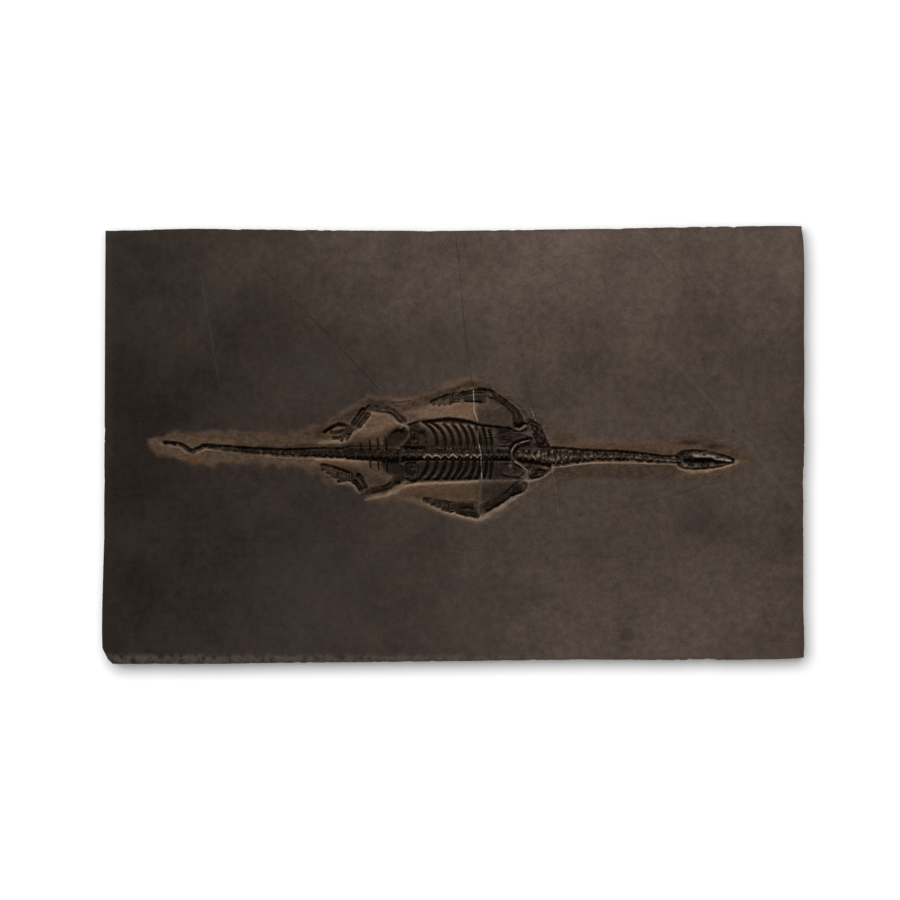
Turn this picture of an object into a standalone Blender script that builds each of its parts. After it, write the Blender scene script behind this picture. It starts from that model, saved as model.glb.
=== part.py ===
"""Keichousaurus fossil: the whole skeleton of a small marine reptile in the hollow of a flat stone slab.

The scene is in metres and the tables below are in millimetres, +Z up. The origin is the middle of the slab's
underside. The animal lies on its belly with its head towards +X, so its left side is at +Y. Every bone is a
piece of its own, lying just clear of the floor of the hollow.
"""

import math

import bmesh
import bpy
import numpy as np

MM = 0.001
OBJECT_NAME = "keichousaurus_fossil"

# Slab, with its edges as (place along the edge, place across it) seen from above
SLAB_THICKNESS = 20.0
SLAB_HALF_LENGTH = 175.0
SLAB_HALF_DEPTH = 109.0
LEFT_EDGE = [(-109.6, -170.0), (-105.0, -175.2), (-91.5, -175.7), (-46.5, -174.5), (22.5, -174.2),
             (107.0, -173.8)]
RIGHT_EDGE = [(-106.3, 175.5), (-99.0, 175.7), (-77.5, 175.2), (-17.5, 175.2), (1.5, 175.7), (89.5, 175.7),
              (103.5, 175.2), (109.6, 174.4)]
FRONT_EDGE = [(-170.0, -109.6), (-131.5, -109.6), (-91.5, -109.0), (-46.5, -108.6), (-1.5, -108.1),
              (23.5, -107.8), (68.5, -107.3), (123.5, -107.6), (166.0, -107.1), (175.5, -106.3)]
BACK_EDGE = [(-173.8, 107.2), (-131.5, 108.2), (-91.5, 107.8), (-51.5, 107.3), (-1.5, 107.1), (33.5, 107.6),
             (78.5, 108.2), (118.5, 109.1), (158.5, 109.6), (174.4, 109.6)]

# Worked hollow: a shallow dish, and in it the steep-sided basin of the trunk and a trench along each bone
DISH_DEPTH = 0.8
DISH_SLOPE = 6.0
BASIN_DEPTH = 2.0
BASIN_WALL = 1.6
TRENCH_MARGIN = 1.0
TRENCH_WALL = 1.6
CREST_HEIGHT = 0.55
CREST_REACH = 8.0
DISH_OUTLINE = [(-151.5, 2.0), (-139.0, 6.0), (-106.5, 5.5), (-76.5, 6.0), (-61.5, 12.0), (-42.5, 25.0),
                (-26.5, 22.5), (-14.0, 25.5), (8.5, 33.5), (18.5, 31.5), (33.5, 20.5), (51.0, 7.0),
                (73.5, 1.5), (113.5, 2.5), (126.0, 3.5), (138.5, 0.0), (148.5, -6.5), (146.0, -10.0),
                (133.5, -15.0), (113.5, -16.5), (73.5, -14.5), (53.5, -17.5), (38.5, -24.5), (23.5, -36.0),
                (12.5, -39.5),
                (-1.5, -36.0), (-29.0, -26.5), (-41.5, -29.0), (-51.5, -21.0), (-66.5, -16.5), (-76.5, -11.0),
                (-101.5, -9.5), (-131.5, -9.0), (-148.0, -4.0)]
BASIN_OUTLINE = [(48.5, -1.0), (46.0, 5.0), (43.5, 10.0), (38.5, 13.0), (29.0, 8.5), (13.5, 10.0),
                 (8.5, 12.0), (-1.5, 13.5), (-15.5, 12.5), (-24.0, 10.0), (-32.5, 6.5), (-36.0, 4.5),
                 (-47.5, 2.5), (-54.0, -0.5), (-54.0, -8.0), (-42.0, -11.0), (-35.5, -13.5), (-27.0, -20.5),
                 (-21.5, -19.5),
                 (-1.5, -18.5), (13.5, -17.5), (26.0, -17.5), (38.5, -17.5), (43.5, -16.5), (49.5, -12.0)]

# Fine rows of the slab's top follow the skeleton, and the reduced mesh keeps this share of its faces
TOP_COLUMNS = 360
TOP_ROWS = 130
ROW_CROWDING = 0.55
KEPT_SHARE = 0.0193

# Welding distance in metres, and the number of steps that a smooth line takes between two of its points
WELD_DISTANCE = 0.00001
LINE_STEPS = 20

# Bones rest this far above the floor of the hollow
FLOOR_LEVEL = SLAB_THICKNESS - DISH_DEPTH - BASIN_DEPTH
BONE_GAP = 0.4
BONE_LEVEL = FLOOR_LEVEL + BONE_GAP

# Spine: each vertebra's shares of the row's width and height, at its joints and at its middle
JOINT_WIDTH, MIDDLE_WIDTH = 1.06, 0.8
JOINT_HEIGHT, MIDDLE_HEIGHT = 0.78, 1.0
SPINE_Y = -4.5
TRUNK_REAR, TRUNK_FRONT = -26.2, 28.3
TRUNK_HALF_WIDTH = 2.9
TRUNK_VERTEBRA = 3.2
COLUMN_SIDES, TAIL_SIDES = 8, 6
TAIL_LINE = [(-26.9, -5.0), (-39.0, -4.5), (-54.0, -4.2), (-69.0, -4.0), (-84.0, -4.0), (-99.0, -3.0),
             (-114.0, -1.7), (-123.5, -0.7), (-126.5, -1.7), (-130.5, -3.2), (-133.0, -2.0), (-136.5, 0.0),
             (-144.0, 1.0)]
TAIL_WIDTH = [(-144.0, 0.45), (-126.5, 0.6), (-114.0, 0.9), (-84.0, 1.5), (-69.0, 2.0), (-54.0, 2.4),
              (-26.9, 2.9)]
TAIL_VERTEBRAE = 30
NECK_LINE = [(31.6, -4.8), (40.0, -5.1), (48.5, -5.9), (58.5, -5.7), (68.5, -5.5), (83.5, -5.5), (93.5, -6.2),
             (103.5, -7.2), (113.9, -7.7)]
NECK_WIDTH = [(31.6, 2.5), (38.0, 2.9), (44.0, 3.5), (49.0, 4.5), (56.0, 4.0), (63.5, 3.0), (73.5, 2.4),
              (98.5, 1.8), (113.9, 1.5)]
NECK_VERTEBRAE = 25

# Ribs, one pair to a vertebra, closer together towards the shoulders
FIRST_RIB = -12.6
RIB_PITCH_REAR, RIB_PITCH_FRONT = 4.4, 2.7
RIB_PAIRS = 10
RIB_ROOT, RIB_TIP = 0.75, 0.5
RIB_STATIONS = (0.0, 0.4, 0.75, 1.0)
# How far a rib's tip lies behind its root, and where the left tips are, by the place of the root
LEFT_SWEEPS = [(-8.2, 6.6), (-3.8, 7.8), (0.2, 4.2), (7.5, 3.6), (14.0, 2.0), (20.0, 1.0)]
RIGHT_SWEEPS = [(-12.6, 4.2), (0.0, 3.2), (7.5, 4.4), (11.0, 2.0), (20.0, 0.6)]
LEFT_RIB_TIPS = [(-8.2, 11.4), (-3.8, 11.6), (0.2, 10.2), (7.5, 10.2), (14.0, 8.6), (20.5, 6.8)]
RIGHT_RIB_TIP = -17.0
RIB_ROOT_INSIDE = 2.0
LEFT_KNEE_RISE, RIGHT_KNEE_RISE = 3.5, 3.2
KNEE_SWEEP = 0.33
# Tail ribs as the places of their tips; they root in the tail's row on either side
TAIL_RIBS_LEFT = [(-46.0, 1.2), (-41.5, 3.0), (-37.5, 4.0), (-33.5, 4.6)]
TAIL_RIBS_RIGHT = [(-41.5, -11.0), (-37.5, -11.8), (-33.5, -12.4)]
TAIL_RIB_ROOT_LEFT, TAIL_RIB_ROOT_RIGHT = -3.2, -6.0
TAIL_RIB_LEAN = 0.4

# Skull sections: (x, y, half width, half height)
SKULL = [(114.7, -7.5, 3.3, 0.6), (116.5, -7.5, 4.3, 0.9), (120.5, -7.5, 4.6, 1.1), (126.0, -7.6, 4.3, 1.1),
         (130.0, -7.8, 3.6, 1.0), (134.0, -7.9, 2.7, 0.85), (137.3, -8.0, 1.7, 0.7), (139.6, -8.1, 0.7, 0.5)]
# Openings of the skull as (x, distance from its midline, half length, half width)
SKULL_OPENINGS = {
    "eye_socket": (126.0, 2.3, 1.9, 1.2),
    "temple_opening": (119.0, 2.6, 1.7, 1.0),
    "nostril": (131.8, 1.5, 0.8, 0.5),
}
OPENING_DEPTH = 1.0
SKULL_SIDES = 12

# Limb bones: centre line, half width at each end and at the shaft
LIMB_BONES = {
    "humerus_left": ([(33.0, 10.2), (31.0, 16.0), (24.5, 21.8), (17.8, 25.5)], 2.5, 1.7, 1.2),
    "radius_left": ([(15.6, 26.9), (10.0, 26.5), (4.4, 25.4)], 0.8, 0.7, 0.6),
    "ulna_left": ([(15.2, 23.1), (10.5, 22.8), (4.6, 22.6)], 2.1, 1.2, 1.3),
    "humerus_right": ([(34.0, -20.6), (27.5, -25.2), (20.5, -29.8), (15.5, -32.0)], 2.7, 1.9, 1.4),
    "radius_right": ([(11.8, -35.3), (6.0, -34.4), (2.4, -33.2)], 0.9, 0.8, 0.7),
    "ulna_right": ([(10.3, -30.4), (6.0, -30.4), (2.5, -30.4)], 1.9, 1.2, 1.3),
    "femur_left": ([(-25.2, 12.0), (-30.0, 16.4), (-36.0, 17.6), (-41.3, 18.1)], 1.5, 1.3, 1.0),
    "tibia_left": ([(-42.3, 15.2), (-44.5, 12.0), (-46.6, 9.4)], 0.7, 0.6, 0.5),
    "fibula_left": ([(-44.8, 17.2), (-47.4, 13.8), (-49.8, 10.5)], 0.9, 0.8, 0.7),
    "femur_right": ([(-26.9, -16.4), (-31.0, -20.5), (-36.0, -22.4), (-41.2, -23.0)], 1.5, 1.3, 1.0),
    "tibia_right": ([(-43.6, -21.2), (-45.4, -17.6), (-47.2, -15.6)], 0.7, 0.7, 0.6),
    "fibula_right": ([(-46.2, -22.2), (-48.4, -19.2), (-49.7, -18.4)], 0.8, 0.7, 0.6),
}
LIMB_STATIONS = (0.0, 0.08, 0.3, 0.7, 0.92, 1.0)
FLARE_SHARE = 0.2
END_ROUNDING = 0.6
LIMB_FLATNESS = 0.42

# Hands and feet: the wrist or ankle as (x, y, half length, half width), and the line of each digit
EXTREMITIES = {
    "hand_left": ((1.5, 23.7, 1.5, 2.2), [
        [(1.2, 25.2), (-4.0, 24.0), (-8.0, 22.3), (-10.6, 21.3)],
        [(1.0, 24.5), (-4.0, 23.0), (-9.6, 20.5)],
        [(1.0, 23.7), (-3.5, 22.0), (-7.0, 20.2)],
        [(1.0, 22.9), (-2.0, 21.3), (-4.0, 20.4)],
        [(1.2, 22.3), (-1.5, 20.8)]]),
    "hand_right": ((-0.6, -31.2, 1.4, 2.2), [
        [(-1.2, -29.6), (-6.0, -28.4), (-10.0, -27.6), (-14.0, -27.2)],
        [(-1.4, -30.4), (-7.0, -29.2), (-12.8, -28.3)],
        [(-1.4, -31.2), (-6.0, -30.2), (-10.6, -29.4)],
        [(-1.2, -32.0), (-5.0, -31.2), (-8.0, -30.4)],
        [(-1.0, -32.6), (-5.0, -32.0)]]),
    "foot_left": ((-51.8, 7.4, 1.5, 1.6), [
        [(-52.0, 8.6), (-56.5, 10.0), (-60.0, 8.8), (-64.0, 6.2)],
        [(-52.6, 8.0), (-57.5, 5.7), (-61.0, 6.3)],
        [(-52.6, 7.2), (-56.5, 3.7), (-59.5, 3.4)],
        [(-52.0, 6.6), (-55.6, 2.4)],
        [(-51.2, 6.4), (-53.2, 2.8)]]),
    "foot_right": ((-51.9, -16.0, 1.3, 1.7), [
        [(-52.4, -14.6), (-56.5, -12.8), (-61.5, -11.0), (-65.5, -10.3)],
        [(-52.6, -15.4), (-56.5, -14.2), (-60.5, -12.8), (-65.0, -12.1)],
        [(-52.6, -16.2), (-56.5, -15.6), (-62.5, -13.6)],
        [(-52.4, -16.8), (-57.0, -16.7), (-60.0, -15.4)],
        [(-52.2, -17.2), (-57.0, -18.0)]]),
}
DIGIT_KNUCKLE, DIGIT_SHAFT = 0.62, 0.42
PHALANX_LENGTH = 3.2
WRIST_HALF_HEIGHT = 0.6

# Flat bones of the shoulder and the hip as outlines, with the thickness of each plate
PLATES = {
    "coracoid_left": ([(22.0, -0.5), (23.0, 5.2), (28.5, 6.6), (35.0, 6.3), (38.0, 4.4), (34.4, 3.4),
                       (30.4, 1.8), (28.2, -0.6)], 1.3),
    "coracoid_right": ([(22.0, -8.6), (28.2, -8.4), (30.4, -10.4), (34.0, -12.0), (36.0, -13.6),
                        (33.5, -16.2), (28.0, -15.8), (23.0, -14.2)], 1.3),
    "scapula_left": ([(38.4, 11.2), (39.3, 6.5), (40.5, 3.6), (42.5, 1.0), (45.4, 0.8), (46.0, 3.5),
                      (44.5, 7.2), (41.5, 10.6)], 1.9),
    "scapula_right": ([(38.2, -12.4), (42.0, -11.4), (45.5, -11.8), (48.0, -12.8), (45.0, -15.0),
                       (41.0, -16.2), (38.0, -15.8)], 1.7),
    "pelvis_left": ([(-24.4, -0.6), (-13.6, -0.6), (-12.8, 3.5), (-13.8, 8.0), (-17.0, 10.2), (-21.2, 10.0),
                     (-22.0, 7.0), (-20.9, 4.4), (-23.4, 1.6)], 1.6),
    "pelvis_right": ([(-24.3, -8.4), (-23.2, -11.0), (-24.4, -13.5), (-23.6, -16.8), (-20.5, -17.8),
                      (-18.0, -16.5), (-17.2, -12.5), (-17.4, -8.4)], 1.6),
}
PLATE_ROUNDING = 0.35
# Round holes through the hip plates: (x, y, radius)
HIP_OPENINGS = {"pelvis_left": (-19.0, 2.4, 1.1), "pelvis_right": (-20.6, -11.4, 1.0)}
HIP_OPENING_SIDES = 8
CLAVICLE_LINE = [(38.4, 2.1), (35.0, 1.4), (31.5, -0.1), (29.7, -3.0), (29.7, -6.2), (31.4, -8.8),
                 (34.5, -10.2), (37.5, -10.6)]
CLAVICLE_RADIUS = 0.7
CLAVICLE_LIFT = 0.4
CLAVICLE_STATIONS = 10

# Materials: base colour, roughness
MATERIALS = {
    "slab_stone": ((0.055, 0.045, 0.038, 1.0), 0.75),
    "fossil_bone": ((0.022, 0.016, 0.012, 1.0), 0.5),
    "pale_bone": ((0.16, 0.13, 0.105, 1.0), 0.55),
}

footprints = []


def clear_scene():
    """Remove whatever the scene holds."""
    for old in list(bpy.data.objects):
        bpy.data.objects.remove(old, do_unlink=True)


def new_collection(name):
    collection = bpy.data.collections.new(name)
    bpy.context.scene.collection.children.link(collection)
    return collection


def make_materials():
    for name, (colour, roughness) in MATERIALS.items():
        material = bpy.data.materials.new(name)
        material.use_nodes = True
        shader = material.node_tree.nodes["Principled BSDF"]
        shader.inputs["Base Color"].default_value = colour
        shader.inputs["Roughness"].default_value = roughness


def smooth_line(points, shares):
    """Points on a Catmull-Rom curve through the given ones, at shares (0 to 1) of its length."""
    knots = np.array(points, float)
    knots = np.vstack([2 * knots[0] - knots[1], knots, 2 * knots[-1] - knots[-2]])
    t = np.linspace(0.0, 1.0, LINE_STEPS, endpoint=False)[:, None]
    pieces = []
    for a, b, c, d in zip(knots, knots[1:], knots[2:], knots[3:]):
        pieces.append(0.5 * (2 * b + (c - a) * t + (2 * a - 5 * b + 4 * c - d) * t ** 2
                             + (3 * b - a - 3 * c + d) * t ** 3))
    dense = np.vstack(pieces + [knots[-2][None]])
    run = np.concatenate([[0.0], np.cumsum(np.linalg.norm(np.diff(dense, axis=0), axis=1))])
    wanted = np.asarray(shares, float) * run[-1]
    return np.column_stack([np.interp(wanted, run, dense[:, axis]) for axis in range(2)])


def line_length(points):
    return float(np.linalg.norm(np.diff(np.array(points, float), axis=0), axis=1).sum())


def finish(obj, material_name, collection, parent):
    obj.data.materials.clear()
    obj.data.materials.append(bpy.data.materials[material_name])
    collection.objects.link(obj)
    obj.parent = parent
    return obj


def leave_collections(obj):
    for collection in list(obj.users_collection):
        collection.objects.unlink(obj)


def helper(obj, helpers):
    """A cutter or an addition: kept out of the render, drawn as wire."""
    helpers.objects.link(obj)
    obj.hide_render = True
    obj.display_type = "WIRE"
    return obj


def tube(name, line, radii, level, flatness=1.0, resolution=2):
    """A bevelled curve along a line in the slab's plane, its underside at the given level."""
    curve = bpy.data.curves.new(name, "CURVE")
    curve.dimensions = "3D"
    curve.twist_mode = "Z_UP"
    curve.bevel_depth = MM
    curve.bevel_resolution = resolution
    curve.use_fill_caps = True
    spline = curve.splines.new("POLY")
    spline.points.add(len(line) - 1)
    start = line[0]
    for point, place, radius in zip(spline.points, line, radii):
        point.co = ((place[0] - start[0]) * MM, (place[1] - start[1]) * MM, 0.0, 1.0)
        point.radius = radius
    obj = bpy.data.objects.new(name, curve)
    obj.location = (start[0] * MM, start[1] * MM, (level + max(radii) * flatness) * MM)
    obj.scale = (1.0, 1.0, flatness)
    footprints.append((np.array(line), np.array(radii)))
    return obj


def to_mesh(obj, helpers):
    """The curve object as a mesh object of the same name, its caps welded."""
    helpers.objects.link(obj)
    bpy.context.view_layer.update()
    evaluated = obj.evaluated_get(bpy.context.evaluated_depsgraph_get())
    mesh = bpy.data.meshes.new_from_object(evaluated)
    mesh.transform(obj.matrix_world)
    made = bpy.data.objects.new(obj.name, mesh)
    bpy.data.objects.remove(obj, do_unlink=True)
    work = bmesh.new()
    work.from_mesh(mesh)
    bmesh.ops.remove_doubles(work, verts=work.verts, dist=WELD_DISTANCE)
    bmesh.ops.recalc_face_normals(work, faces=work.faces)
    work.to_mesh(mesh)
    work.free()
    return made


def loft(name, centres, half_widths, half_heights, sides):
    """A closed body through upright oval sections square to a line; centres are (x, y, z)."""
    centres = np.array(centres, float)
    along = np.gradient(centres[:, :2], axis=0)
    along /= np.linalg.norm(along, axis=1)[:, None]
    across = np.column_stack([-along[:, 1], along[:, 0]])
    work = bmesh.new()
    rings = []
    for centre, side, width, height in zip(centres, across, half_widths, half_heights):
        ring = []
        for k in range(sides):
            angle = 2 * math.pi * (k + 0.5) / sides
            reach = width * math.cos(angle)
            place = (centre[0] + side[0] * reach, centre[1] + side[1] * reach,
                     centre[2] + height * math.sin(angle))
            ring.append(work.verts.new([value * MM for value in place]))
        rings.append(ring)
    for ring, following in zip(rings, rings[1:]):
        for k in range(sides):
            n = (k + 1) % sides
            work.faces.new((ring[k], ring[n], following[n], following[k]))
    work.faces.new(rings[0])
    work.faces.new(rings[-1])
    bmesh.ops.recalc_face_normals(work, faces=work.faces)
    mesh = bpy.data.meshes.new(name)
    work.to_mesh(mesh)
    work.free()
    footprints.append((centres[:, :2], np.array(half_widths)))
    return bpy.data.objects.new(name, mesh)


def vertebra_column(name, line, widths, count, sides):
    """A row of vertebrae: wide and low at each joint, narrow and high at each middle.

    Thin rows are about as high as wide, and thick ones are pressed flatter.
    """
    shares = np.linspace(0.0, 1.0, 2 * count + 1)
    points = smooth_line(line, shares)
    places, sizes = zip(*widths)
    width = np.interp(points[:, 0], places, sizes)
    middle = np.arange(len(shares)) % 2
    half_width = width * np.where(middle, MIDDLE_WIDTH, JOINT_WIDTH)
    half_height = np.minimum(0.5 * width, 0.3 + 0.2 * width)
    half_height = half_height * np.where(middle, MIDDLE_HEIGHT, JOINT_HEIGHT)
    levels = np.full(len(shares), BONE_LEVEL) + half_height
    return loft(name, np.column_stack([points, levels]), half_width, half_height, sides)


def join(body, additions, helpers, name):
    """Join the additions to the body by one exact union."""
    group = bpy.data.collections.new(name)
    helpers.children.link(group)
    for addition in additions:
        helper(addition, group)
    union = body.modifiers.new("union", "BOOLEAN")
    union.operation = "UNION"
    union.operand_type = "COLLECTION"
    union.solver = "EXACT"
    union.collection = group


def rib(name, root, knee, tip, helpers, resolution=1):
    """A rib that leaves the spine squarely, bends back and thins towards its tip."""
    bend = (root[0] + 0.2, 0.5 * (root[1] + knee[1]))
    line = smooth_line([root, bend, knee, tip], RIB_STATIONS)
    radii = np.interp(np.linspace(0.0, 1.0, len(line)), (0.0, 1.0), (RIB_ROOT, RIB_TIP))
    return to_mesh(tube(name, line, radii, BONE_LEVEL, resolution=resolution), helpers)


def trunk(helpers):
    """The back vertebrae with a pair of ribs on each."""
    count = round((TRUNK_FRONT - TRUNK_REAR) / TRUNK_VERTEBRA)
    line = [(TRUNK_FRONT, SPINE_Y), (0.0, SPINE_Y), (TRUNK_REAR, SPINE_Y)]
    widths = [(TRUNK_REAR, TRUNK_HALF_WIDTH), (TRUNK_FRONT, TRUNK_HALF_WIDTH)]
    body = vertebra_column("back_vertebrae_and_ribs", line, widths, count, COLUMN_SIDES)
    pitches = np.linspace(RIB_PITCH_REAR, RIB_PITCH_FRONT, RIB_PAIRS - 1)
    places = FIRST_RIB + np.concatenate([[0.0], np.cumsum(pitches)])
    left_sweeps, right_sweeps, left_tips = (
        np.interp(places, *zip(*table)).tolist() for table in (LEFT_SWEEPS, RIGHT_SWEEPS, LEFT_RIB_TIPS))
    ribs = []
    for number, (x, left, right, tip) in enumerate(zip(places, left_sweeps, right_sweeps, left_tips)):
        if number > 0:
            ribs.append(rib(f"rib_left_{number}", (x, SPINE_Y + RIB_ROOT_INSIDE),
                            (x - KNEE_SWEEP * left, tip - LEFT_KNEE_RISE), (x - left, tip), helpers))
        knee = (x - KNEE_SWEEP * right, RIGHT_RIB_TIP + RIGHT_KNEE_RISE)
        ribs.append(rib(f"rib_right_{number}", (x, SPINE_Y - RIB_ROOT_INSIDE), knee,
                        (x - right, RIGHT_RIB_TIP), helpers))
    join(body, ribs, helpers, "ribs")
    return body


def tail(helpers):
    """The tail vertebrae, with the short ribs of the first few."""
    body = vertebra_column("tail_vertebrae", TAIL_LINE, TAIL_WIDTH, TAIL_VERTEBRAE, TAIL_SIDES)
    ribs = []
    for tips, root, lean in ((TAIL_RIBS_LEFT, TAIL_RIB_ROOT_LEFT, -TAIL_RIB_LEAN),
                             (TAIL_RIBS_RIGHT, TAIL_RIB_ROOT_RIGHT, TAIL_RIB_LEAN)):
        for x, y in tips:
            name = f"tail_rib_{len(ribs)}"
            ribs.append(rib(name, (x, root), (x, 0.5 * (y + root)), (x + lean, y), helpers, resolution=0))
    join(body, ribs, helpers, "tail_ribs")
    return body


def skull(helpers):
    """A low wedge of a skull, with its eye sockets, temple openings and nostrils sunk in from above."""
    x, y, half_width, half_height = np.array(SKULL).T
    centres = np.column_stack([x, y, BONE_LEVEL + half_height])
    body = loft("skull", centres, half_width, half_height, SKULL_SIDES)
    for opening, (place, offset, half_length, half_breadth) in SKULL_OPENINGS.items():
        midline = np.interp(place, x, y)
        top = BONE_LEVEL + 2 * np.interp(place, x, half_height)
        for side, sign in (("left", 1), ("right", -1)):
            bpy.ops.mesh.primitive_uv_sphere_add(segments=8, ring_count=4, radius=MM)
            cutter = bpy.context.object
            cutter.name = f"{opening}_{side}"
            cutter.location = (place * MM, (midline + sign * offset) * MM, top * MM)
            cutter.scale = (half_length, half_breadth, OPENING_DEPTH)
            leave_collections(cutter)
            helper(cutter, helpers)
            cut = body.modifiers.new(cutter.name, "BOOLEAN")
            cut.operation = "DIFFERENCE"
            cut.solver = "EXACT"
            cut.object = cutter
    return body


def limb_bone(name, line, first, last, shaft):
    """A long bone with flared, rounded ends."""
    t = np.array(LIMB_STATIONS)
    flare = (first - shaft) * np.exp(-(t / FLARE_SHARE) ** 2)
    flare += (last - shaft) * np.exp(-((1 - t) / FLARE_SHARE) ** 2)
    radii = (shaft + flare) * np.where((t == 0.0) | (t == 1.0), END_ROUNDING, 1.0)
    return tube(name, smooth_line(line, t), radii, BONE_LEVEL, LIMB_FLATNESS)


def digit(name, line, helpers):
    """A finger or toe: thick at each knuckle, thin along each bone."""
    bones = max(2, round(line_length(line) / PHALANX_LENGTH))
    points = smooth_line(line, np.linspace(0.0, 1.0, 2 * bones + 1))
    radii = np.where(np.arange(len(points)) % 2, DIGIT_SHAFT, DIGIT_KNUCKLE)
    radii[-1] = DIGIT_SHAFT
    return to_mesh(tube(name, points, radii, BONE_LEVEL, resolution=0), helpers)


def extremity(name, wrist, lines, helpers):
    """A hand or a foot: a low knob of wrist or ankle bones with five digits fused to it."""
    x, y, half_length, half_width = wrist
    bpy.ops.mesh.primitive_uv_sphere_add(segments=10, ring_count=5, radius=1.0)
    body = bpy.context.object
    body.name = name
    body.data.name = name
    for vertex in body.data.vertices:
        vertex.co.x *= half_length * MM
        vertex.co.y *= half_width * MM
        vertex.co.z *= WRIST_HALF_HEIGHT * MM
    body.location = (x * MM, y * MM, (BONE_LEVEL + WRIST_HALF_HEIGHT) * MM)
    leave_collections(body)
    footprints.append((np.array([(x - 0.1, y), (x + 0.1, y)]), np.array([half_width, half_width])))
    digits = [digit(f"{name}_digit_{number}", line, helpers) for number, line in enumerate(lines, 1)]
    join(body, digits, helpers, f"{name}_digits")
    return body


def closed_spline(curve, points, centre):
    """Add a closed outline to a curve, its points taken from the centre."""
    spline = curve.splines.new("POLY")
    spline.use_cyclic_u = True
    spline.points.add(len(points) - 1)
    for point, place in zip(spline.points, points):
        point.co = ((place[0] - centre[0]) * MM, (place[1] - centre[1]) * MM, 0.0, 1.0)


def plate(name, outline, thickness):
    """A flat bone: an outline extruded to its thickness, with its edges rounded and any hole left open."""
    curve = bpy.data.curves.new(name, "CURVE")
    curve.dimensions = "2D"
    curve.fill_mode = "BOTH"
    curve.extrude = 0.5 * thickness * MM
    centre = np.mean(outline, axis=0)
    closed_spline(curve, outline, centre)
    if name in HIP_OPENINGS:
        x, y, radius = HIP_OPENINGS[name]
        turn = 2 * math.pi * np.arange(HIP_OPENING_SIDES) / HIP_OPENING_SIDES
        closed_spline(curve, np.column_stack([x + radius * np.cos(turn), y + radius * np.sin(turn)]), centre)
    obj = bpy.data.objects.new(name, curve)
    obj.location = (centre[0] * MM, centre[1] * MM, (BONE_LEVEL + 0.5 * thickness) * MM)
    weld = obj.modifiers.new("weld", "WELD")
    weld.merge_threshold = WELD_DISTANCE
    bevel = obj.modifiers.new("rounding", "BEVEL")
    bevel.width = PLATE_ROUNDING * MM
    bevel.segments = 1
    bevel.limit_method = "ANGLE"
    footprints.append((np.array(outline + outline[:1]), np.full(len(outline) + 1, 0.1)))
    return obj


def clavicle_arch():
    """The pale U of the joined collar bones, open towards the head."""
    line = smooth_line(CLAVICLE_LINE, np.linspace(0.0, 1.0, CLAVICLE_STATIONS))
    radii = np.full(len(line), CLAVICLE_RADIUS)
    radii[[0, -1]] *= END_ROUNDING
    return tube("clavicle_arch", line, radii, BONE_LEVEL + CLAVICLE_LIFT, resolution=1)


def smooth_step(value, low, high):
    share = np.clip((value - low) / (high - low), 0.0, 1.0)
    return share * share * (3 - 2 * share)


def distance_outside(x, y, line, radii):
    """Distance from each place to a line that is as thick as its radii say, negative inside it."""
    nearest = np.full(x.shape, np.inf)
    for (ax, ay), (bx, by), first, last in zip(line, line[1:], radii, radii[1:]):
        length = (bx - ax) ** 2 + (by - ay) ** 2
        t = np.clip(((x - ax) * (bx - ax) + (y - ay) * (by - ay)) / length, 0.0, 1.0)
        reach = np.hypot(x - ax - t * (bx - ax), y - ay - t * (by - ay))
        nearest = np.minimum(nearest, reach - first - t * (last - first))
    return nearest


def depth_inside(x, y, outline):
    """Distance from each place to a closed outline, positive inside it."""
    closed = list(outline) + [outline[0]]
    edge = distance_outside(x, y, closed, np.zeros(len(closed)))
    inside = np.zeros(x.shape, bool)
    for (ax, ay), (bx, by) in zip(closed, closed[1:]):
        if ay == by:
            continue
        inside ^= ((ay > y) != (by > y)) & (x < ax + (y - ay) * (bx - ax) / (by - ay))
    return np.where(inside, edge, -edge)


def hollow_depth(x, y):
    """Depth of the worked hollow below the slab's face."""
    dish = DISH_DEPTH * smooth_step(depth_inside(x, y, DISH_OUTLINE), 0.0, DISH_SLOPE)
    basin = depth_inside(x, y, BASIN_OUTLINE)
    away = np.full(x.shape, np.inf)
    for line, radii in footprints:
        away = np.minimum(away, distance_outside(x, y, line, radii))
    trench = 1 - smooth_step(away, TRENCH_MARGIN, TRENCH_MARGIN + TRENCH_WALL)
    sunk = np.maximum(trench, smooth_step(basin, -0.5 * BASIN_WALL, 0.5 * BASIN_WALL))
    crest = CREST_HEIGHT * (1 - smooth_step(-basin, 0.0, CREST_REACH)) * dish / DISH_DEPTH
    return (dish - crest) * (1 - sunk) + (DISH_DEPTH + BASIN_DEPTH) * sunk


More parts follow.
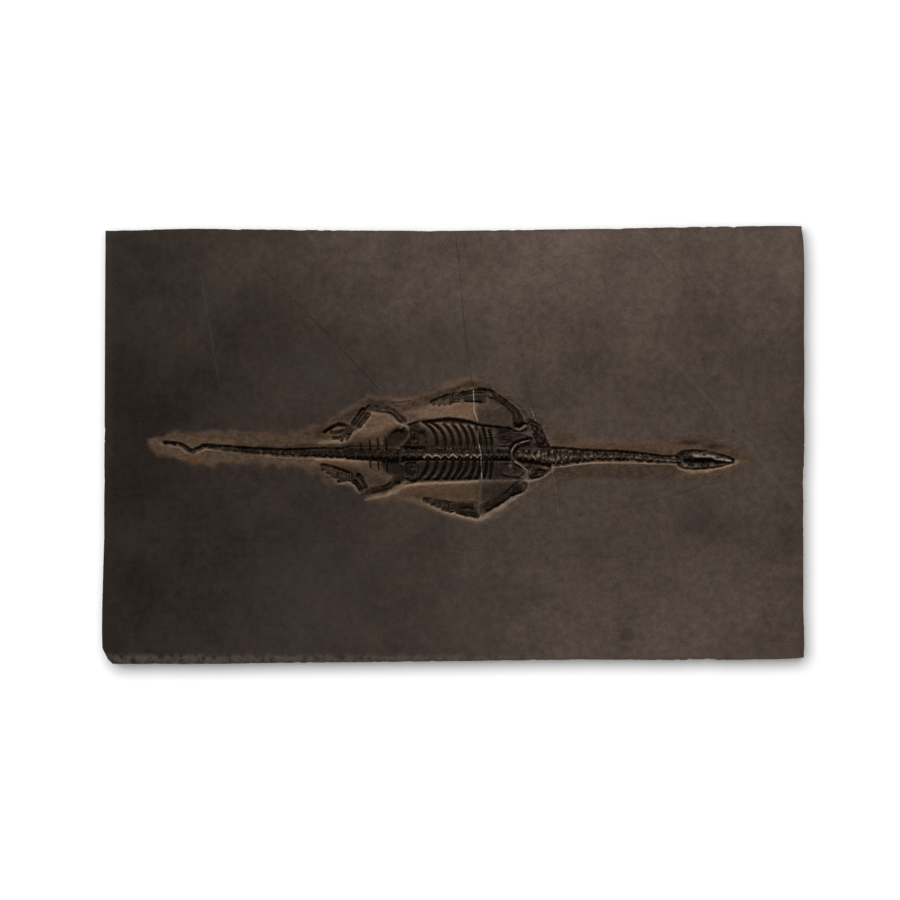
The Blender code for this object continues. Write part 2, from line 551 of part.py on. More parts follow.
def matrix_slab():
    """The stone slab: a fine grid laid over its outline, sunk into the hollow, closed below, then reduced."""
    work = bmesh.new()
    bmesh.ops.create_grid(work, x_segments=TOP_COLUMNS, y_segments=TOP_ROWS, size=1.0)
    across, along = np.array([vertex.co[:2] for vertex in work.verts]).T
    along = along * (1 - ROW_CROWDING + ROW_CROWDING * along ** 2)
    rough_x = across * SLAB_HALF_LENGTH
    rough_y = along * SLAB_HALF_DEPTH
    left, right = (np.interp(rough_y, *np.array(edge).T) for edge in (LEFT_EDGE, RIGHT_EDGE))
    front, back = (np.interp(rough_x, *np.array(edge).T) for edge in (FRONT_EDGE, BACK_EDGE))
    x = left + (right - left) * (across + 1) / 2
    y = front + (back - front) * (along + 1) / 2
    z = SLAB_THICKNESS - hollow_depth(x, y)
    for vertex, place in zip(work.verts, np.column_stack([x, y, z]) * MM):
        vertex.co = place
    rim = [edge for edge in work.edges if edge.is_boundary]
    skirt = bmesh.ops.extrude_edge_only(work, edges=rim)["geom"]
    for vertex in (item for item in skirt if isinstance(item, bmesh.types.BMVert)):
        vertex.co.z = 0.0
    foot = [edge for edge in work.edges if edge.is_boundary]
    bmesh.ops.contextual_create(work, geom=foot)
    bmesh.ops.recalc_face_normals(work, faces=work.faces)
    mesh = bpy.data.meshes.new("matrix_slab")
    work.to_mesh(mesh)
    work.free()
    slab = bpy.data.objects.new("matrix_slab", mesh)
    reduce = slab.modifiers.new("reduce", "DECIMATE")
    reduce.ratio = KEPT_SHARE
    return slab


def main():
    clear_scene()
    fossil = new_collection(OBJECT_NAME)
    helpers = new_collection("helpers")
    make_materials()
    parent = bpy.data.objects.new(OBJECT_NAME, None)
    fossil.objects.link(parent)

    finish(skull(helpers), "fossil_bone", fossil, parent)
    neck = vertebra_column("neck_vertebrae", NECK_LINE, NECK_WIDTH, NECK_VERTEBRAE, COLUMN_SIDES)
    finish(neck, "fossil_bone", fossil, parent)
    finish(trunk(helpers), "fossil_bone", fossil, parent)
    finish(tail(helpers), "fossil_bone", fossil, parent)
    finish(clavicle_arch(), "pale_bone", fossil, parent)
    for name, (outline, thickness) in PLATES.items():
        finish(plate(name, outline, thickness), "fossil_bone", fossil, parent)
    for name, (line, first, last, shaft) in LIMB_BONES.items():
        finish(limb_bone(name, line, first, last, shaft), "fossil_bone", fossil, parent)
    for name, (wrist, lines) in EXTREMITIES.items():
        finish(extremity(name, wrist, lines, helpers), "fossil_bone", fossil, parent)
    finish(matrix_slab(), "slab_stone", fossil, parent)


main()
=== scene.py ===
"""Looks of a keichousaurus fossil: the worked stone, every bone, the light and the camera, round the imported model.

Lengths in the tables are millimetres and the scene is in metres. The head points to +X, the animal's left side
is at +Y, and the slab's face is up.
"""
import math

import bpy
import numpy as np
from bpy.props import FloatProperty, FloatVectorProperty, PointerProperty
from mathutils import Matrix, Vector


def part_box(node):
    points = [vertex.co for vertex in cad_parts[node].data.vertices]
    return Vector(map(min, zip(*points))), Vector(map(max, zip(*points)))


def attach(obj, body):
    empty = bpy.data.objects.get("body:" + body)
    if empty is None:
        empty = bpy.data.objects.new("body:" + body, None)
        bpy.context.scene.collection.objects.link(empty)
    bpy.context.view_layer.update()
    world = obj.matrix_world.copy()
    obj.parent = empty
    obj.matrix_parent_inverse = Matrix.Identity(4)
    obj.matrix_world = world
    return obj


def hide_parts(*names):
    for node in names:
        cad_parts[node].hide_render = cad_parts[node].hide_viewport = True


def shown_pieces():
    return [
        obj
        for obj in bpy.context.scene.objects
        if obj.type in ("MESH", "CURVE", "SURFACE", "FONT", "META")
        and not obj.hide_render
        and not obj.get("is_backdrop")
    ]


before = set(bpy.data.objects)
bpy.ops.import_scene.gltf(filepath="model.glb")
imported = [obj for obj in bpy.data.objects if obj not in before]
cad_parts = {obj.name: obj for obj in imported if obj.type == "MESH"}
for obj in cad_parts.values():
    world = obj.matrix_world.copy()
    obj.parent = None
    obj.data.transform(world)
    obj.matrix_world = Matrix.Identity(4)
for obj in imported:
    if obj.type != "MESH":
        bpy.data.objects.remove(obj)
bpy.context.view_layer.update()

bl_info = {
    "name": "Keichousaurus fossil",
    "version": (1, 0, 0),
    "blender": (4, 5, 0),
    "location": "View3D > Sidebar > Fossil",
    "description": "Dresses the slab, the bones and the stage of a fossil marine reptile",
    "category": "Object",
}

MM = 0.001
LINE_STEPS = 16
STONE_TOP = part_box("matrix_slab")[1].z / MM
BONE_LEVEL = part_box("femur_left")[0].z / MM
SIDE_SHARP_ANGLE = math.radians(50.0)
FLOOR_REACH = 4.0
SLAB_HALF_LENGTH, SLAB_HALF_DEPTH = 175.0, 109.0
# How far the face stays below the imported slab's top, and how far pits may go below the bones' undersides
FACE_CLEARANCE, FLOOR_CLEARANCE = 0.03, 0.3
# Cells along a side of the noise lattice, after which it repeats
LATTICE = 64

# Slab edges as (place along the edge, place across it) seen from above
LEFT_EDGE = [(-109.6, -170.0), (-105.0, -175.2), (-91.5, -175.7), (-46.5, -174.5), (22.5, -174.2),
             (107.0, -173.8)]
RIGHT_EDGE = [(-106.3, 175.5), (-99.0, 175.7), (-77.5, 175.2), (-17.5, 175.2), (1.5, 175.7), (89.5, 175.7),
              (103.5, 175.2), (109.6, 174.4)]
FRONT_EDGE = [(-170.0, -109.6), (-131.5, -109.6), (-91.5, -109.0), (-46.5, -108.6), (-1.5, -108.1),
              (23.5, -107.8), (68.5, -107.3), (123.5, -107.6), (166.0, -107.1), (175.5, -106.3)]
BACK_EDGE = [(-173.8, 107.2), (-131.5, 108.2), (-91.5, 107.8), (-51.5, 107.3), (-1.5, 107.1), (33.5, 107.6),
             (78.5, 108.2), (118.5, 109.1), (158.5, 109.6), (174.4, 109.6)]

# Worked hollow: a shallow dish, the deep basin of the trunk in it, and a trench along each bone
BONE_DEPTH = STONE_TOP - BONE_LEVEL
DISH_DEPTHS = [(-150.0, 0.3), (-80.0, 0.4), (-64.0, 0.9), (-45.0, 1.3), (35.0, 1.3), (48.0, 0.8), (60.0, 0.4),
               (105.0, 0.45), (120.0, 0.8), (145.0, 0.6)]
DISH_SLOPE = 6.0
BASIN_WALLS = [(-32.0, 7.0), (-23.0, 1.3)]
TRENCH_WALL = 1.1
DEEP_FILL, MIDDLE_FILL, SHALLOW_FILL, PLATE_FILL = 0.85, 0.62, 0.35, 1.08
# Half width at its first end above which a limb bone is filled round by DEEP_FILL, and that of a digit
STOUT_LIMB, DIGIT_TRENCH = 1.2, 0.4
CREST_HEIGHT, CREST_REACH = 0.7, 8.0
RIB_GROUND, RIB_GROUND_REACH = 1.55, 1.15
# Pits of the floor: (x, y, half length, half width, depth)
FLOOR_PITS = [(37.0, -8.6, 4.6, 1.4, 1.3), (38.5, -0.8, 5.0, 1.5, 1.1), (41.0, -11.0, 5.0, 2.2, 0.8),
              (-27.8, 5.2, 3.4, 3.0, 1.0), (-29.8, -12.4, 4.4, 3.6, 1.0), (-26.5, -8.3, 7.0, 1.2, 0.8),
              (-21.0, 2.5, 1.4, 1.6, 0.9), (119.0, 0.2, 6.0, 1.8, 0.9), (129.5, -1.6, 5.0, 1.6, 0.6)]
# Ridges of stone left standing between the bones: (points, half width, height over the bones' undersides)
STONE_RIDGES = [([(-26.0, 8.5), (-24.0, 10.5), (-22.8, 8.5), (-21.3, 6.5), (-22.0, 4.2), (-24.2, 1.4)],
                 0.45, 1.5),
                ([(29.0, 10.0), (30.0, 8.2), (33.5, 7.4), (36.2, 9.2)], 0.3, 2.1),
                ([(36.6, 11.4), (38.0, 12.9), (41.2, 12.2), (44.8, 8.4)], 0.3, 1.6),
                ([(34.0, -15.6), (38.5, -17.0), (43.5, -15.2), (46.5, -12.4)], 0.3, 1.2),
                ([(31.0, -8.6), (34.0, -10.4), (37.0, -13.0), (37.0, -15.5)], 0.25, 1.4),
                ([(-13.0, -1.3), (8.0, -1.2), (27.0, -1.4)], 0.6, 1.25),
                ([(-27.0, -1.7), (-40.0, -1.5), (-54.0, -1.4), (-69.0, -1.7), (-84.0, -2.2)], 0.3, 0.6),
                ([(112.5, -5.2), (114.5, -3.0), (119.0, -2.0), (125.0, -2.4), (131.0, -3.8), (138.0, -6.4)],
                 0.25, 1.1)]
DISH_OUTLINE = [(-151.5, 2.0), (-139.0, 6.0), (-106.5, 5.5), (-76.5, 6.0), (-61.5, 12.0), (-42.5, 25.0),
                (-26.5, 22.5), (-14.0, 25.5), (8.5, 33.5), (18.5, 31.5), (33.5, 20.5), (51.0, 7.0),
                (73.5, 1.5), (113.5, 2.5), (126.0, 3.5), (138.5, 0.0), (148.5, -6.5), (146.0, -10.0),
                (133.5, -15.0), (113.5, -16.5), (73.5, -14.5), (53.5, -17.5), (38.5, -24.5), (23.5, -36.0),
                (12.5, -39.5), (-1.5, -36.0), (-29.0, -26.5), (-41.5, -29.0), (-51.5, -21.0),
                (-66.5, -16.5), (-76.5, -11.0), (-101.5, -9.5), (-131.5, -9.0), (-148.0, -4.0)]
BASIN_OUTLINE = [(48.5, -1.0), (46.0, 5.0), (43.5, 10.0), (38.5, 13.0), (29.0, 8.5), (13.5, 10.0),
                 (8.5, 12.0), (-1.5, 13.5), (-15.5, 12.5), (-24.0, 10.0), (-32.5, 6.5), (-36.0, 4.5),
                 (-47.5, 2.5), (-54.0, -0.5), (-54.0, -8.0), (-42.0, -11.0), (-35.5, -13.5),
                 (-27.0, -20.5), (-21.5, -19.5), (-1.5, -18.5), (13.5, -17.5), (26.0, -17.5),
                 (38.5, -17.5), (43.5, -16.5), (49.5, -12.0)]

# The finely meshed band of the slab's face: (x, lowest y, highest y)
FINE_BAND = [(-175.0, -14.0, 10.0), (-80.0, -14.0, 10.0), (-62.0, -24.0, 18.0), (-45.0, -32.0, 29.0),
             (-20.0, -34.0, 30.0), (5.0, -43.0, 37.0), (25.0, -41.0, 36.0), (45.0, -24.0, 16.0),
             (60.0, -19.0, 8.0), (175.0, -19.0, 8.0)]
COLUMNS, ROWS, BAND_SHARE = 540, 164, 0.86
# Rings of the slab's broken sides: height as a share of the slab's, and how far in the stone is broken off
SIDE_RINGS = [(0.985, 0.0), (0.93, 0.25), (0.8, 0.35), (0.62, 0.3), (0.45, 0.4), (0.27, 0.3), (0.1, 0.35),
              (0.0, 0.5)]

# Spine
SPINE_Y = -4.5
TRUNK_REAR, TRUNK_FRONT, TRUNK_HALF_WIDTH = -26.2, 28.3, 2.9
TAIL_LINE = [(-26.9, -5.0), (-39.0, -4.5), (-54.0, -4.2), (-69.0, -4.0), (-84.0, -4.0), (-99.0, -3.0),
             (-114.0, -1.7), (-123.5, -0.7), (-126.5, -1.7), (-130.5, -3.2), (-133.0, -2.0), (-136.5, 0.0),
             (-144.0, 1.0)]
TAIL_WIDTH = [(-144.0, 0.45), (-126.5, 0.6), (-114.0, 0.9), (-84.0, 1.5), (-69.0, 2.0), (-54.0, 2.4),
              (-26.9, 2.9)]
# The tail's vertebrae grow shorter to its tip by a power of their number
TAIL_VERTEBRAE, TAIL_CROWDING = 38, 0.92
NECK_LINE = [(31.6, -4.8), (40.0, -5.1), (48.5, -5.9), (58.5, -5.7), (68.5, -5.5), (83.5, -5.5), (93.5, -6.2),
             (103.5, -7.2), (113.9, -7.7)]
NECK_WIDTH = [(31.6, 2.5), (38.0, 2.9), (44.0, 3.5), (49.0, 4.5), (56.0, 4.0), (63.5, 3.0), (73.5, 2.4),
              (98.5, 1.8), (113.9, 1.5)]
NECK_VERTEBRAE = 25

# Ribs, one pair to a vertebra, closer together towards the shoulders
FIRST_RIB, RIB_PAIRS = -12.6, 10
RIB_PITCH_REAR, RIB_PITCH_FRONT = 4.4, 2.7
RIB_ROOT, RIB_TIP = 0.75, 0.5
# How far a rib's tip lies behind its root, and where the left tips are, by the place of the root
LEFT_SWEEPS = [(-8.2, 6.6), (-3.8, 7.8), (0.2, 4.2), (7.5, 3.6), (14.0, 2.0), (20.0, 1.0)]
RIGHT_SWEEPS = [(-12.6, 4.2), (0.0, 3.2), (7.5, 4.4), (11.0, 2.0), (20.0, 0.6)]
LEFT_RIB_TIPS = [(-8.2, 11.4), (-3.8, 11.6), (0.2, 10.2), (7.5, 10.2), (14.0, 8.6), (20.5, 6.8)]
RIGHT_RIB_TIP = -17.0
RIB_ROOT_INSIDE = 2.0
RIB_SLIMNESS = 0.52
LEFT_KNEE_RISE, RIGHT_KNEE_RISE = 3.5, 3.2
KNEE_SWEEP = 0.33
TAIL_RIBS_LEFT = [(-46.0, 1.2), (-41.5, 3.0), (-37.5, 4.0), (-33.5, 4.6)]
TAIL_RIBS_RIGHT = [(-41.5, -11.0), (-37.5, -11.8), (-33.5, -12.4)]
TAIL_RIB_ROOT_LEFT, TAIL_RIB_ROOT_RIGHT = -2.1, -7.0
TAIL_RIB_LEAN, TAIL_RIB_RADIUS, TAIL_RIB_RISE = 0.4, 0.85, 0.5

# Limb bones: centre line, half width at each end and at the shaft
LIMB_BONES = {
    "humerus_left": ([(33.0, 10.2), (31.0, 16.0), (24.5, 21.8), (17.8, 25.5)], 2.5, 1.7, 1.2),
    "radius_left": ([(15.6, 26.9), (10.0, 26.5), (4.4, 25.4)], 0.8, 0.7, 0.6),
    "ulna_left": ([(15.2, 23.1), (10.5, 22.8), (4.6, 22.6)], 2.1, 1.2, 1.3),
    "humerus_right": ([(34.0, -20.6), (27.5, -25.2), (20.5, -29.8), (15.5, -32.0)], 2.7, 1.9, 1.4),
    "radius_right": ([(11.8, -35.3), (6.0, -34.4), (2.4, -33.2)], 0.9, 0.8, 0.7),
    "ulna_right": ([(10.3, -30.4), (6.0, -30.4), (2.5, -30.4)], 1.9, 1.2, 1.3),
    "femur_left": ([(-25.2, 12.0), (-30.0, 16.4), (-36.0, 17.6), (-41.3, 18.1)], 1.5, 1.3, 1.0),
    "tibia_left": ([(-42.3, 15.2), (-44.5, 12.0), (-46.6, 9.4)], 0.7, 0.6, 0.5),
    "fibula_left": ([(-44.8, 17.2), (-47.4, 13.8), (-49.8, 10.5)], 0.9, 0.8, 0.7),
    "femur_right": ([(-26.9, -16.4), (-31.0, -20.5), (-36.0, -22.4), (-41.2, -23.0)], 1.5, 1.3, 1.0),
    "tibia_right": ([(-43.6, -21.2), (-45.4, -17.6), (-47.2, -15.6)], 0.7, 0.7, 0.6),
    "fibula_right": ([(-46.2, -22.2), (-48.4, -19.2), (-49.7, -18.4)], 0.8, 0.7, 0.6),
}
WORN_LIMBS = ("femur_left", "tibia_left", "fibula_left")
LIMB_FLATNESS = 0.42
FLARE_SHARE = 0.2

# Hands and feet: the wrist or ankle as (x, y, half length, half width), and the line of each digit
EXTREMITIES = {
    "hand_left": ((1.5, 23.7, 1.5, 2.2), [
        [(1.2, 25.2), (-4.0, 24.0), (-8.0, 22.3), (-10.6, 21.3)],
        [(1.0, 24.5), (-4.0, 23.0), (-9.6, 20.5)],
        [(1.0, 23.7), (-3.5, 22.0), (-7.0, 20.2)],
        [(1.0, 22.9), (-2.0, 21.3), (-4.0, 20.4)],
        [(1.2, 22.3), (-1.5, 20.8)]]),
    "hand_right": ((-0.6, -31.2, 1.4, 2.2), [
        [(-1.2, -29.6), (-6.0, -28.4), (-10.0, -27.6), (-14.0, -27.2)],
        [(-1.4, -30.4), (-7.0, -29.2), (-12.8, -28.3)],
        [(-1.4, -31.2), (-6.0, -30.2), (-10.6, -29.4)],
        [(-1.2, -32.0), (-5.0, -31.2), (-8.0, -30.4)],
        [(-1.0, -32.6), (-5.0, -32.0)]]),
    "foot_left": ((-51.8, 7.4, 1.5, 1.6), [
        [(-52.0, 8.6), (-56.5, 10.0), (-60.0, 8.8), (-64.0, 6.2)],
        [(-52.6, 8.0), (-57.5, 5.7), (-61.0, 6.3)],
        [(-52.6, 7.2), (-56.5, 3.7), (-59.5, 3.4)],
        [(-52.0, 6.6), (-55.6, 2.4)],
        [(-51.2, 6.4), (-53.2, 2.8)]]),
    "foot_right": ((-51.9, -16.0, 1.3, 1.7), [
        [(-52.4, -14.6), (-56.5, -12.8), (-61.5, -11.0), (-65.5, -10.3)],
        [(-52.6, -15.4), (-56.5, -14.2), (-60.5, -12.8), (-65.0, -12.1)],
        [(-52.6, -16.2), (-56.5, -15.6), (-62.5, -13.6)],
        [(-52.4, -16.8), (-57.0, -16.7), (-60.0, -15.4)],
        [(-52.2, -17.2), (-57.0, -18.0)]]),
}
KNUCKLE, SHAFT = 0.58, 0.34
PHALANX_LENGTH, PHALANX_GAP = 3.2, 0.25
WRIST_HEIGHT = 0.6

# Flat bones of the shoulder and the hip: outline, thickness, and the hole of each hip plate as (x, y, radius)
PLATES = {
    "coracoid_left": ([(22.0, -0.5), (23.0, 5.2), (28.5, 6.6), (35.0, 6.3), (38.0, 4.4), (34.4, 3.4),
                       (30.4, 1.8), (28.2, -0.6)], 1.3),
    "coracoid_right": ([(22.0, -8.6), (28.2, -8.4), (30.4, -10.4), (34.0, -12.0), (36.0, -13.6),
                        (33.5, -16.2), (28.0, -15.8), (23.0, -14.2)], 1.3),
    "scapula_left": ([(38.4, 11.2), (39.3, 6.5), (40.5, 3.6), (42.5, 1.0), (45.4, 0.8), (46.0, 3.5),
                      (44.5, 7.2), (41.5, 10.6)], 1.9),
    "scapula_right": ([(38.2, -12.4), (42.0, -11.4), (45.5, -11.8), (48.0, -12.8), (45.0, -15.0),
                       (41.0, -16.2), (38.0, -15.8)], 1.7),
    "pelvis_left": ([(-24.4, -0.6), (-13.6, -0.6), (-12.8, 3.5), (-13.8, 8.0), (-17.0, 10.2), (-21.2, 10.0),
                     (-22.0, 7.0), (-20.9, 4.4), (-23.4, 1.6)], 1.6),
    "pelvis_right": ([(-24.3, -8.4), (-23.2, -11.0), (-24.4, -13.5), (-23.6, -16.8), (-20.5, -17.8),
                      (-18.0, -16.5), (-17.2, -12.5), (-17.4, -8.4)], 1.6),
}
HIP_OPENINGS = {"pelvis_left": (-19.0, 2.4, 1.1), "pelvis_right": (-20.6, -11.4, 1.0)}
CLAVICLE_LINE = [(38.4, 2.1), (35.0, 1.4), (31.5, -0.1), (29.7, -3.0), (29.7, -6.2), (31.4, -8.8),
                 (34.5, -10.2), (37.5, -10.6)]
CLAVICLE_RADIUS, CLAVICLE_LIFT = 0.75, 0.4

# Skull sections: (x, y, half width, half height), and the line of its crest as (x, y)
SKULL = [(114.7, -7.5, 3.2, 0.6), (116.5, -7.5, 4.2, 0.9), (120.5, -7.5, 4.5, 1.1), (126.0, -7.6, 4.2, 1.1),
         (130.0, -7.8, 3.5, 1.0), (134.0, -7.9, 2.6, 0.85), (137.3, -8.0, 1.6, 0.7), (139.6, -8.1, 0.7, 0.5)]
SKULL_CREST = [(114.7, -6.5), (120.0, -6.3), (125.0, -6.0), (129.0, -6.2), (131.0, -7.2), (136.0, -8.0),
               (139.6, -8.3)]
# Hollows sunk in the skull: (x, y, half length, half width, depth)
SKULL_HOLLOWS = [(119.2, -6.2, 1.2, 0.8, 0.6), (120.3, -8.8, 0.5, 0.4, 0.4), (119.2, -10.0, 1.4, 0.8, 0.25),
                 (125.6, -5.0, 0.7, 0.5, 0.3), (126.0, -10.0, 1.9, 1.0, 0.25), (132.3, -6.5, 0.8, 0.3, 0.2),
                 (131.8, -9.2, 0.8, 0.4, 0.2)]

# Splinters of the jaw beside the skull's hinge, and the belly rods seen between the front ribs
JAW_SPLINTERS = [(114.3, -3.0), (115.2, -3.4), (116.1, -3.2), (117.0, -3.6)]
BELLY_ROD_PLACES = [8.6, 7.6, 6.6, 5.4, 3.9]
BELLY_ROD_FRONT, BELLY_ROD_REAR, BELLY_ROD_RADIUS = 29.0, 13.5, 0.25

# Lines in the stone as (start, end, width, strength): dark cracks, dull light seams, and the calcite veins
CRACKS = [((1.5, 105.0), (5.0, 66.0), 0.4, 0.8), ((5.0, 66.0), (9.5, 30.0), 0.4, 0.8),
          ((31.0, 70.0), (36.0, 37.0), 0.35, 0.5), ((36.0, 37.0), (42.0, 9.0), 0.4, 0.7),
          ((-99.0, 92.5), (-81.5, 74.0), 0.45, 0.7), ((-81.5, 74.0), (-59.0, 51.5), 0.55, 1.0),
          ((-59.0, 51.5), (-36.5, 27.0), 0.55, 1.0), ((-174.0, -23.5), (-78.0, -21.0), 0.4, 0.5),
          ((-174.0, -47.5), (-60.0, -48.5), 0.5, 0.4), ((-60.0, -48.5), (96.0, -57.5), 0.4, 0.35),
          ((-139.0, -23.5), (-125.5, -42.5), 0.35, 0.55), ((51.0, -37.5), (93.5, -30.0), 0.7, 0.3),
          ((93.5, -30.0), (136.0, -17.5), 0.8, 0.35), ((133.5, 32.5), (163.5, 52.5), 0.4, 0.3),
          ((-31.0, 20.8), (-21.5, 22.0), 0.7, 1.0), ((140.0, 7.0), (149.0, 1.5), 0.8, 0.5)]
SEAMS = [((63.5, 85.0), (16.0, 40.0), 0.5, 0.35), ((-126.5, 87.5), (-116.5, 27.5), 0.4, 0.2),
         ((103.5, 50.0), (146.0, 2.5), 1.4, 0.32), ((146.0, 2.5), (176.0, -37.5), 1.8, 0.32),
         ((14.3, -17.5), (12.5, -34.0), 1.1, 0.55), ((58.5, 31.0), (61.5, 12.0), 0.3, 0.2)]
VEINS = [((10.2, 27.8), (10.5, 17.5), 0.3, 0.6), ((10.5, 17.5), (12.3, 12.5), 0.28, 0.75),
         ((12.3, 12.5), (12.6, 1.5), 0.26, 0.6), ((12.6, 1.5), (14.0, -5.0), 0.32, 0.85),
         ((14.0, -5.0), (14.3, -17.5), 0.32, 0.75), ((39.0, 18.5), (42.0, 10.0), 0.28, 0.4),
         ((49.5, -10.5), (53.0, -34.5), 0.2, 0.2)]
# How many of the veins, from the first on, run over the bones too
VEINS_OVER_BONES = 5
# Stretches of ground that were worn bright, and rims rubbed pale with a painted highlight where they face the light,
# as (start, end, reach, strength)
BRIGHT_GROUND = [((-28.0, 20.0), (-10.0, 19.0), 5.0, 0.7), ((-14.0, 17.0), (8.0, 16.5), 6.0, 1.0),
                 ((-8.0, 19.5), (9.5, 19.0), 4.0, 1.0), ((-40.0, 12.5), (-30.0, 10.0), 6.5, 0.8),
                 ((-46.0, 7.5), (-36.0, 5.5), 4.5, 0.8), ((-66.0, 1.5), (-46.0, 4.5), 2.6, 0.9),
                 ((-30.0, -21.5), (9.0, -21.5), 4.0, 0.45), ((-43.0, -15.0), (-33.0, -15.0), 4.5, 0.5),
                 ((-69.0, -8.5), (-46.0, -10.0), 2.5, 0.5), ((14.0, 17.0), (24.0, 17.0), 6.0, 0.25),
                 ((-4.0, 30.0), (9.0, 32.0), 3.0, 0.35), ((113.0, 1.0), (130.0, 0.0), 3.0, 0.3),
                 ((-150.0, 2.0), (-110.0, 1.5), 2.5, 0.4), ((56.0, 1.0), (112.0, -0.5), 3.5, 0.45)]
RUBBED_AND_HIGHLIT_RIMS = [((-42.0, 16.3), (-34.0, 15.2), 1.1, 1.0), ((-34.0, 15.2), (-25.5, 10.5), 1.2, 1.0),
                ((-25.5, 10.5), (-22.5, 8.0), 1.2, 0.7), ((-66.5, 1.0), (-56.0, 2.2), 1.2, 1.0),
                ((-56.0, 2.2), (-49.0, 5.8), 1.4, 1.0), ((-49.0, 5.8), (-44.5, 9.8), 1.2, 0.8),
                ((-69.0, -7.3), (-46.5, -7.4), 0.9, 1.0), ((-46.5, -7.6), (-35.0, -7.4), 0.7, 0.9),
                ((36.0, -22.0), (22.0, -32.5), 1.8, 0.9), ((22.0, -32.5), (13.0, -37.0), 2.2, 1.0),
                ((13.0, -37.0), (0.0, -33.6), 1.4, 0.8), ((-44.0, -27.4), (-34.0, -25.4), 0.9, 0.55),
                ((-34.0, -25.4), (-26.0, -22.2), 1.1, 0.9), ((-26.0, -22.2), (-21.5, -19.8), 1.1, 0.9),
                ((-21.5, -19.8), (-9.0, -19.0), 1.2, 0.9), ((-9.0, -19.0), (12.0, -18.4), 0.9, 0.7),
                ((35.8, 12.0), (33.2, 18.0), 0.8, 0.6), ((33.2, 18.0), (19.5, 28.0), 0.8, 0.65),
                ((-6.0, 24.9), (9.5, 28.3), 0.8, 0.7), ((28.5, 8.0), (31.5, 6.6), 1.2, 0.6),
                ((31.5, 6.6), (36.0, 8.0), 1.2, 0.6), ((33.5, -16.5), (38.0, -18.2), 1.1, 0.7),
                ((38.0, -18.2), (42.0, -17.0), 1.1, 0.6), ((42.0, -17.0), (50.0, -12.5), 1.2, 0.6),
                ((50.0, -11.2), (70.0, -9.0), 0.65, 0.85), ((70.0, -9.0), (113.0, -9.4), 0.65, 0.85),
                ((113.0, -11.5), (119.0, -13.7), 1.0, 0.8), ((119.0, -13.7), (129.0, -12.9), 1.0, 0.8),
                ((129.0, -12.9), (138.5, -10.2), 0.9, 0.7)]
# Stretches of ground that are darker than the rest, as (start, end, reach, strength)
DULL_GROUND = [((50.0, -13.5), (112.0, -12.5), 5.0, 0.28), ((-66.0, -14.0), (-50.0, -14.5), 6.0, 0.45),
               ((-66.0, 5.0), (-50.0, 6.0), 5.0, 0.35), ((-44.0, -14.0), (-33.0, -15.5), 6.0, 0.35),
               ((16.0, 12.0), (30.0, 12.0), 8.0, 0.35), ((16.0, -24.0), (28.0, -20.0), 6.5, 0.42),
               ((-114.0, -2.0), (-58.0, -4.0), 3.2, 0.6), ((-24.0, -12.0), (22.0, -12.0), 7.5, 0.62),
               ((-22.0, 4.0), (14.0, 4.0), 6.0, 0.5), ((-27.0, 4.0), (-15.0, 5.0), 5.5, 0.6),
               ((-27.0, -12.0), (-16.0, -12.5), 6.0, 0.6), ((-84.0, -1.4), (-27.0, -0.6), 2.4, 0.45),
               ((-41.0, 18.2), (-26.0, 13.5), 3.0, 0.35)]
# Painted shadow along the foot of the hollow's walls, where the stone is also left deeper, as (start, end, reach,
# strength)
PAINTED_SHADOW_LINES = [((-13.0, 11.4), (-4.0, 12.4), 1.5, 0.9), ((-4.0, 12.4), (5.0, 11.9), 2.2, 1.0),
               ((5.0, 11.9), (12.5, 10.2), 1.7, 0.95), ((-19.0, -17.7), (12.0, -16.8), 1.2, 0.7),
               ((12.5, 10.2), (30.0, 8.4), 1.3, 0.7),
               ((-41.0, 18.6), (-33.0, 17.6), 1.5, 0.8), ((-33.0, 17.6), (-25.0, 12.6), 1.7, 0.8),
               ((-45.0, -24.2), (-35.0, -22.6), 2.2, 1.0), ((-35.0, -22.6), (-25.5, -16.5), 2.8, 1.0),
               ((-45.5, 17.6), (-41.0, 18.4), 0.9, 0.9), ((-50.0, 10.3), (-52.0, 8.4), 0.9, 0.8),
               ((-47.0, 9.0), (-51.0, 7.0), 0.8, 0.7), ((-42.5, -22.8), (-46.0, -22.4), 1.2, 0.9),
               ((-49.5, -17.8), (-52.0, -15.4), 1.3, 0.8), ((-31.0, 1.0), (-26.3, 4.0), 5.2, 1.0),
               ((-11.5, 21.2), (0.0, 23.6), 1.7, 0.25), ((0.0, 23.6), (15.5, 25.0), 2.4, 0.9),
               ((-14.0, -27.5), (0.0, -30.6), 1.8, 0.6), ((0.0, -30.6), (13.0, -32.6), 2.8, 0.9),
               ((33.0, -20.5), (16.0, -31.5), 3.4, 0.8), ((33.0, 10.2), (31.0, 16.0), 2.4, 0.45),
               ((31.0, 16.0), (17.8, 25.5), 2.4, 0.45), ((-45.0, -21.5), (-48.5, -17.0), 1.8, 0.9),
               ((-43.8, 16.0), (-48.2, 9.8), 1.8, 0.95), ((-33.0, -10.0), (-26.5, -13.5), 4.6, 1.0),
               ((-64.5, -10.2), (-55.0, -12.4), 1.0, 0.7), ((-55.0, -12.4), (-46.5, -19.0), 1.2, 0.7)]
# Soft dark blots on the stone's face as (x, y, reach, strength)
BLOTS = [(118.5, -35.0, 18.0, 0.4), (68.5, -51.0, 12.0, 0.3), (87.0, -95.0, 5.0, 0.5), (-86.5, -92.5, 13.0, 0.4),
         (-45.0, -72.0, 16.0, 0.3), (26.0, -88.0, 9.0, 0.25), (150.0, 40.0, 16.0, 0.25), (-70.0, 40.0, 20.0, 0.3),
         (-65.0, -85.0, 60.0, 0.4), (5.0, -92.0, 50.0, 0.35), (0.0, 50.0, 30.0, 0.3)]


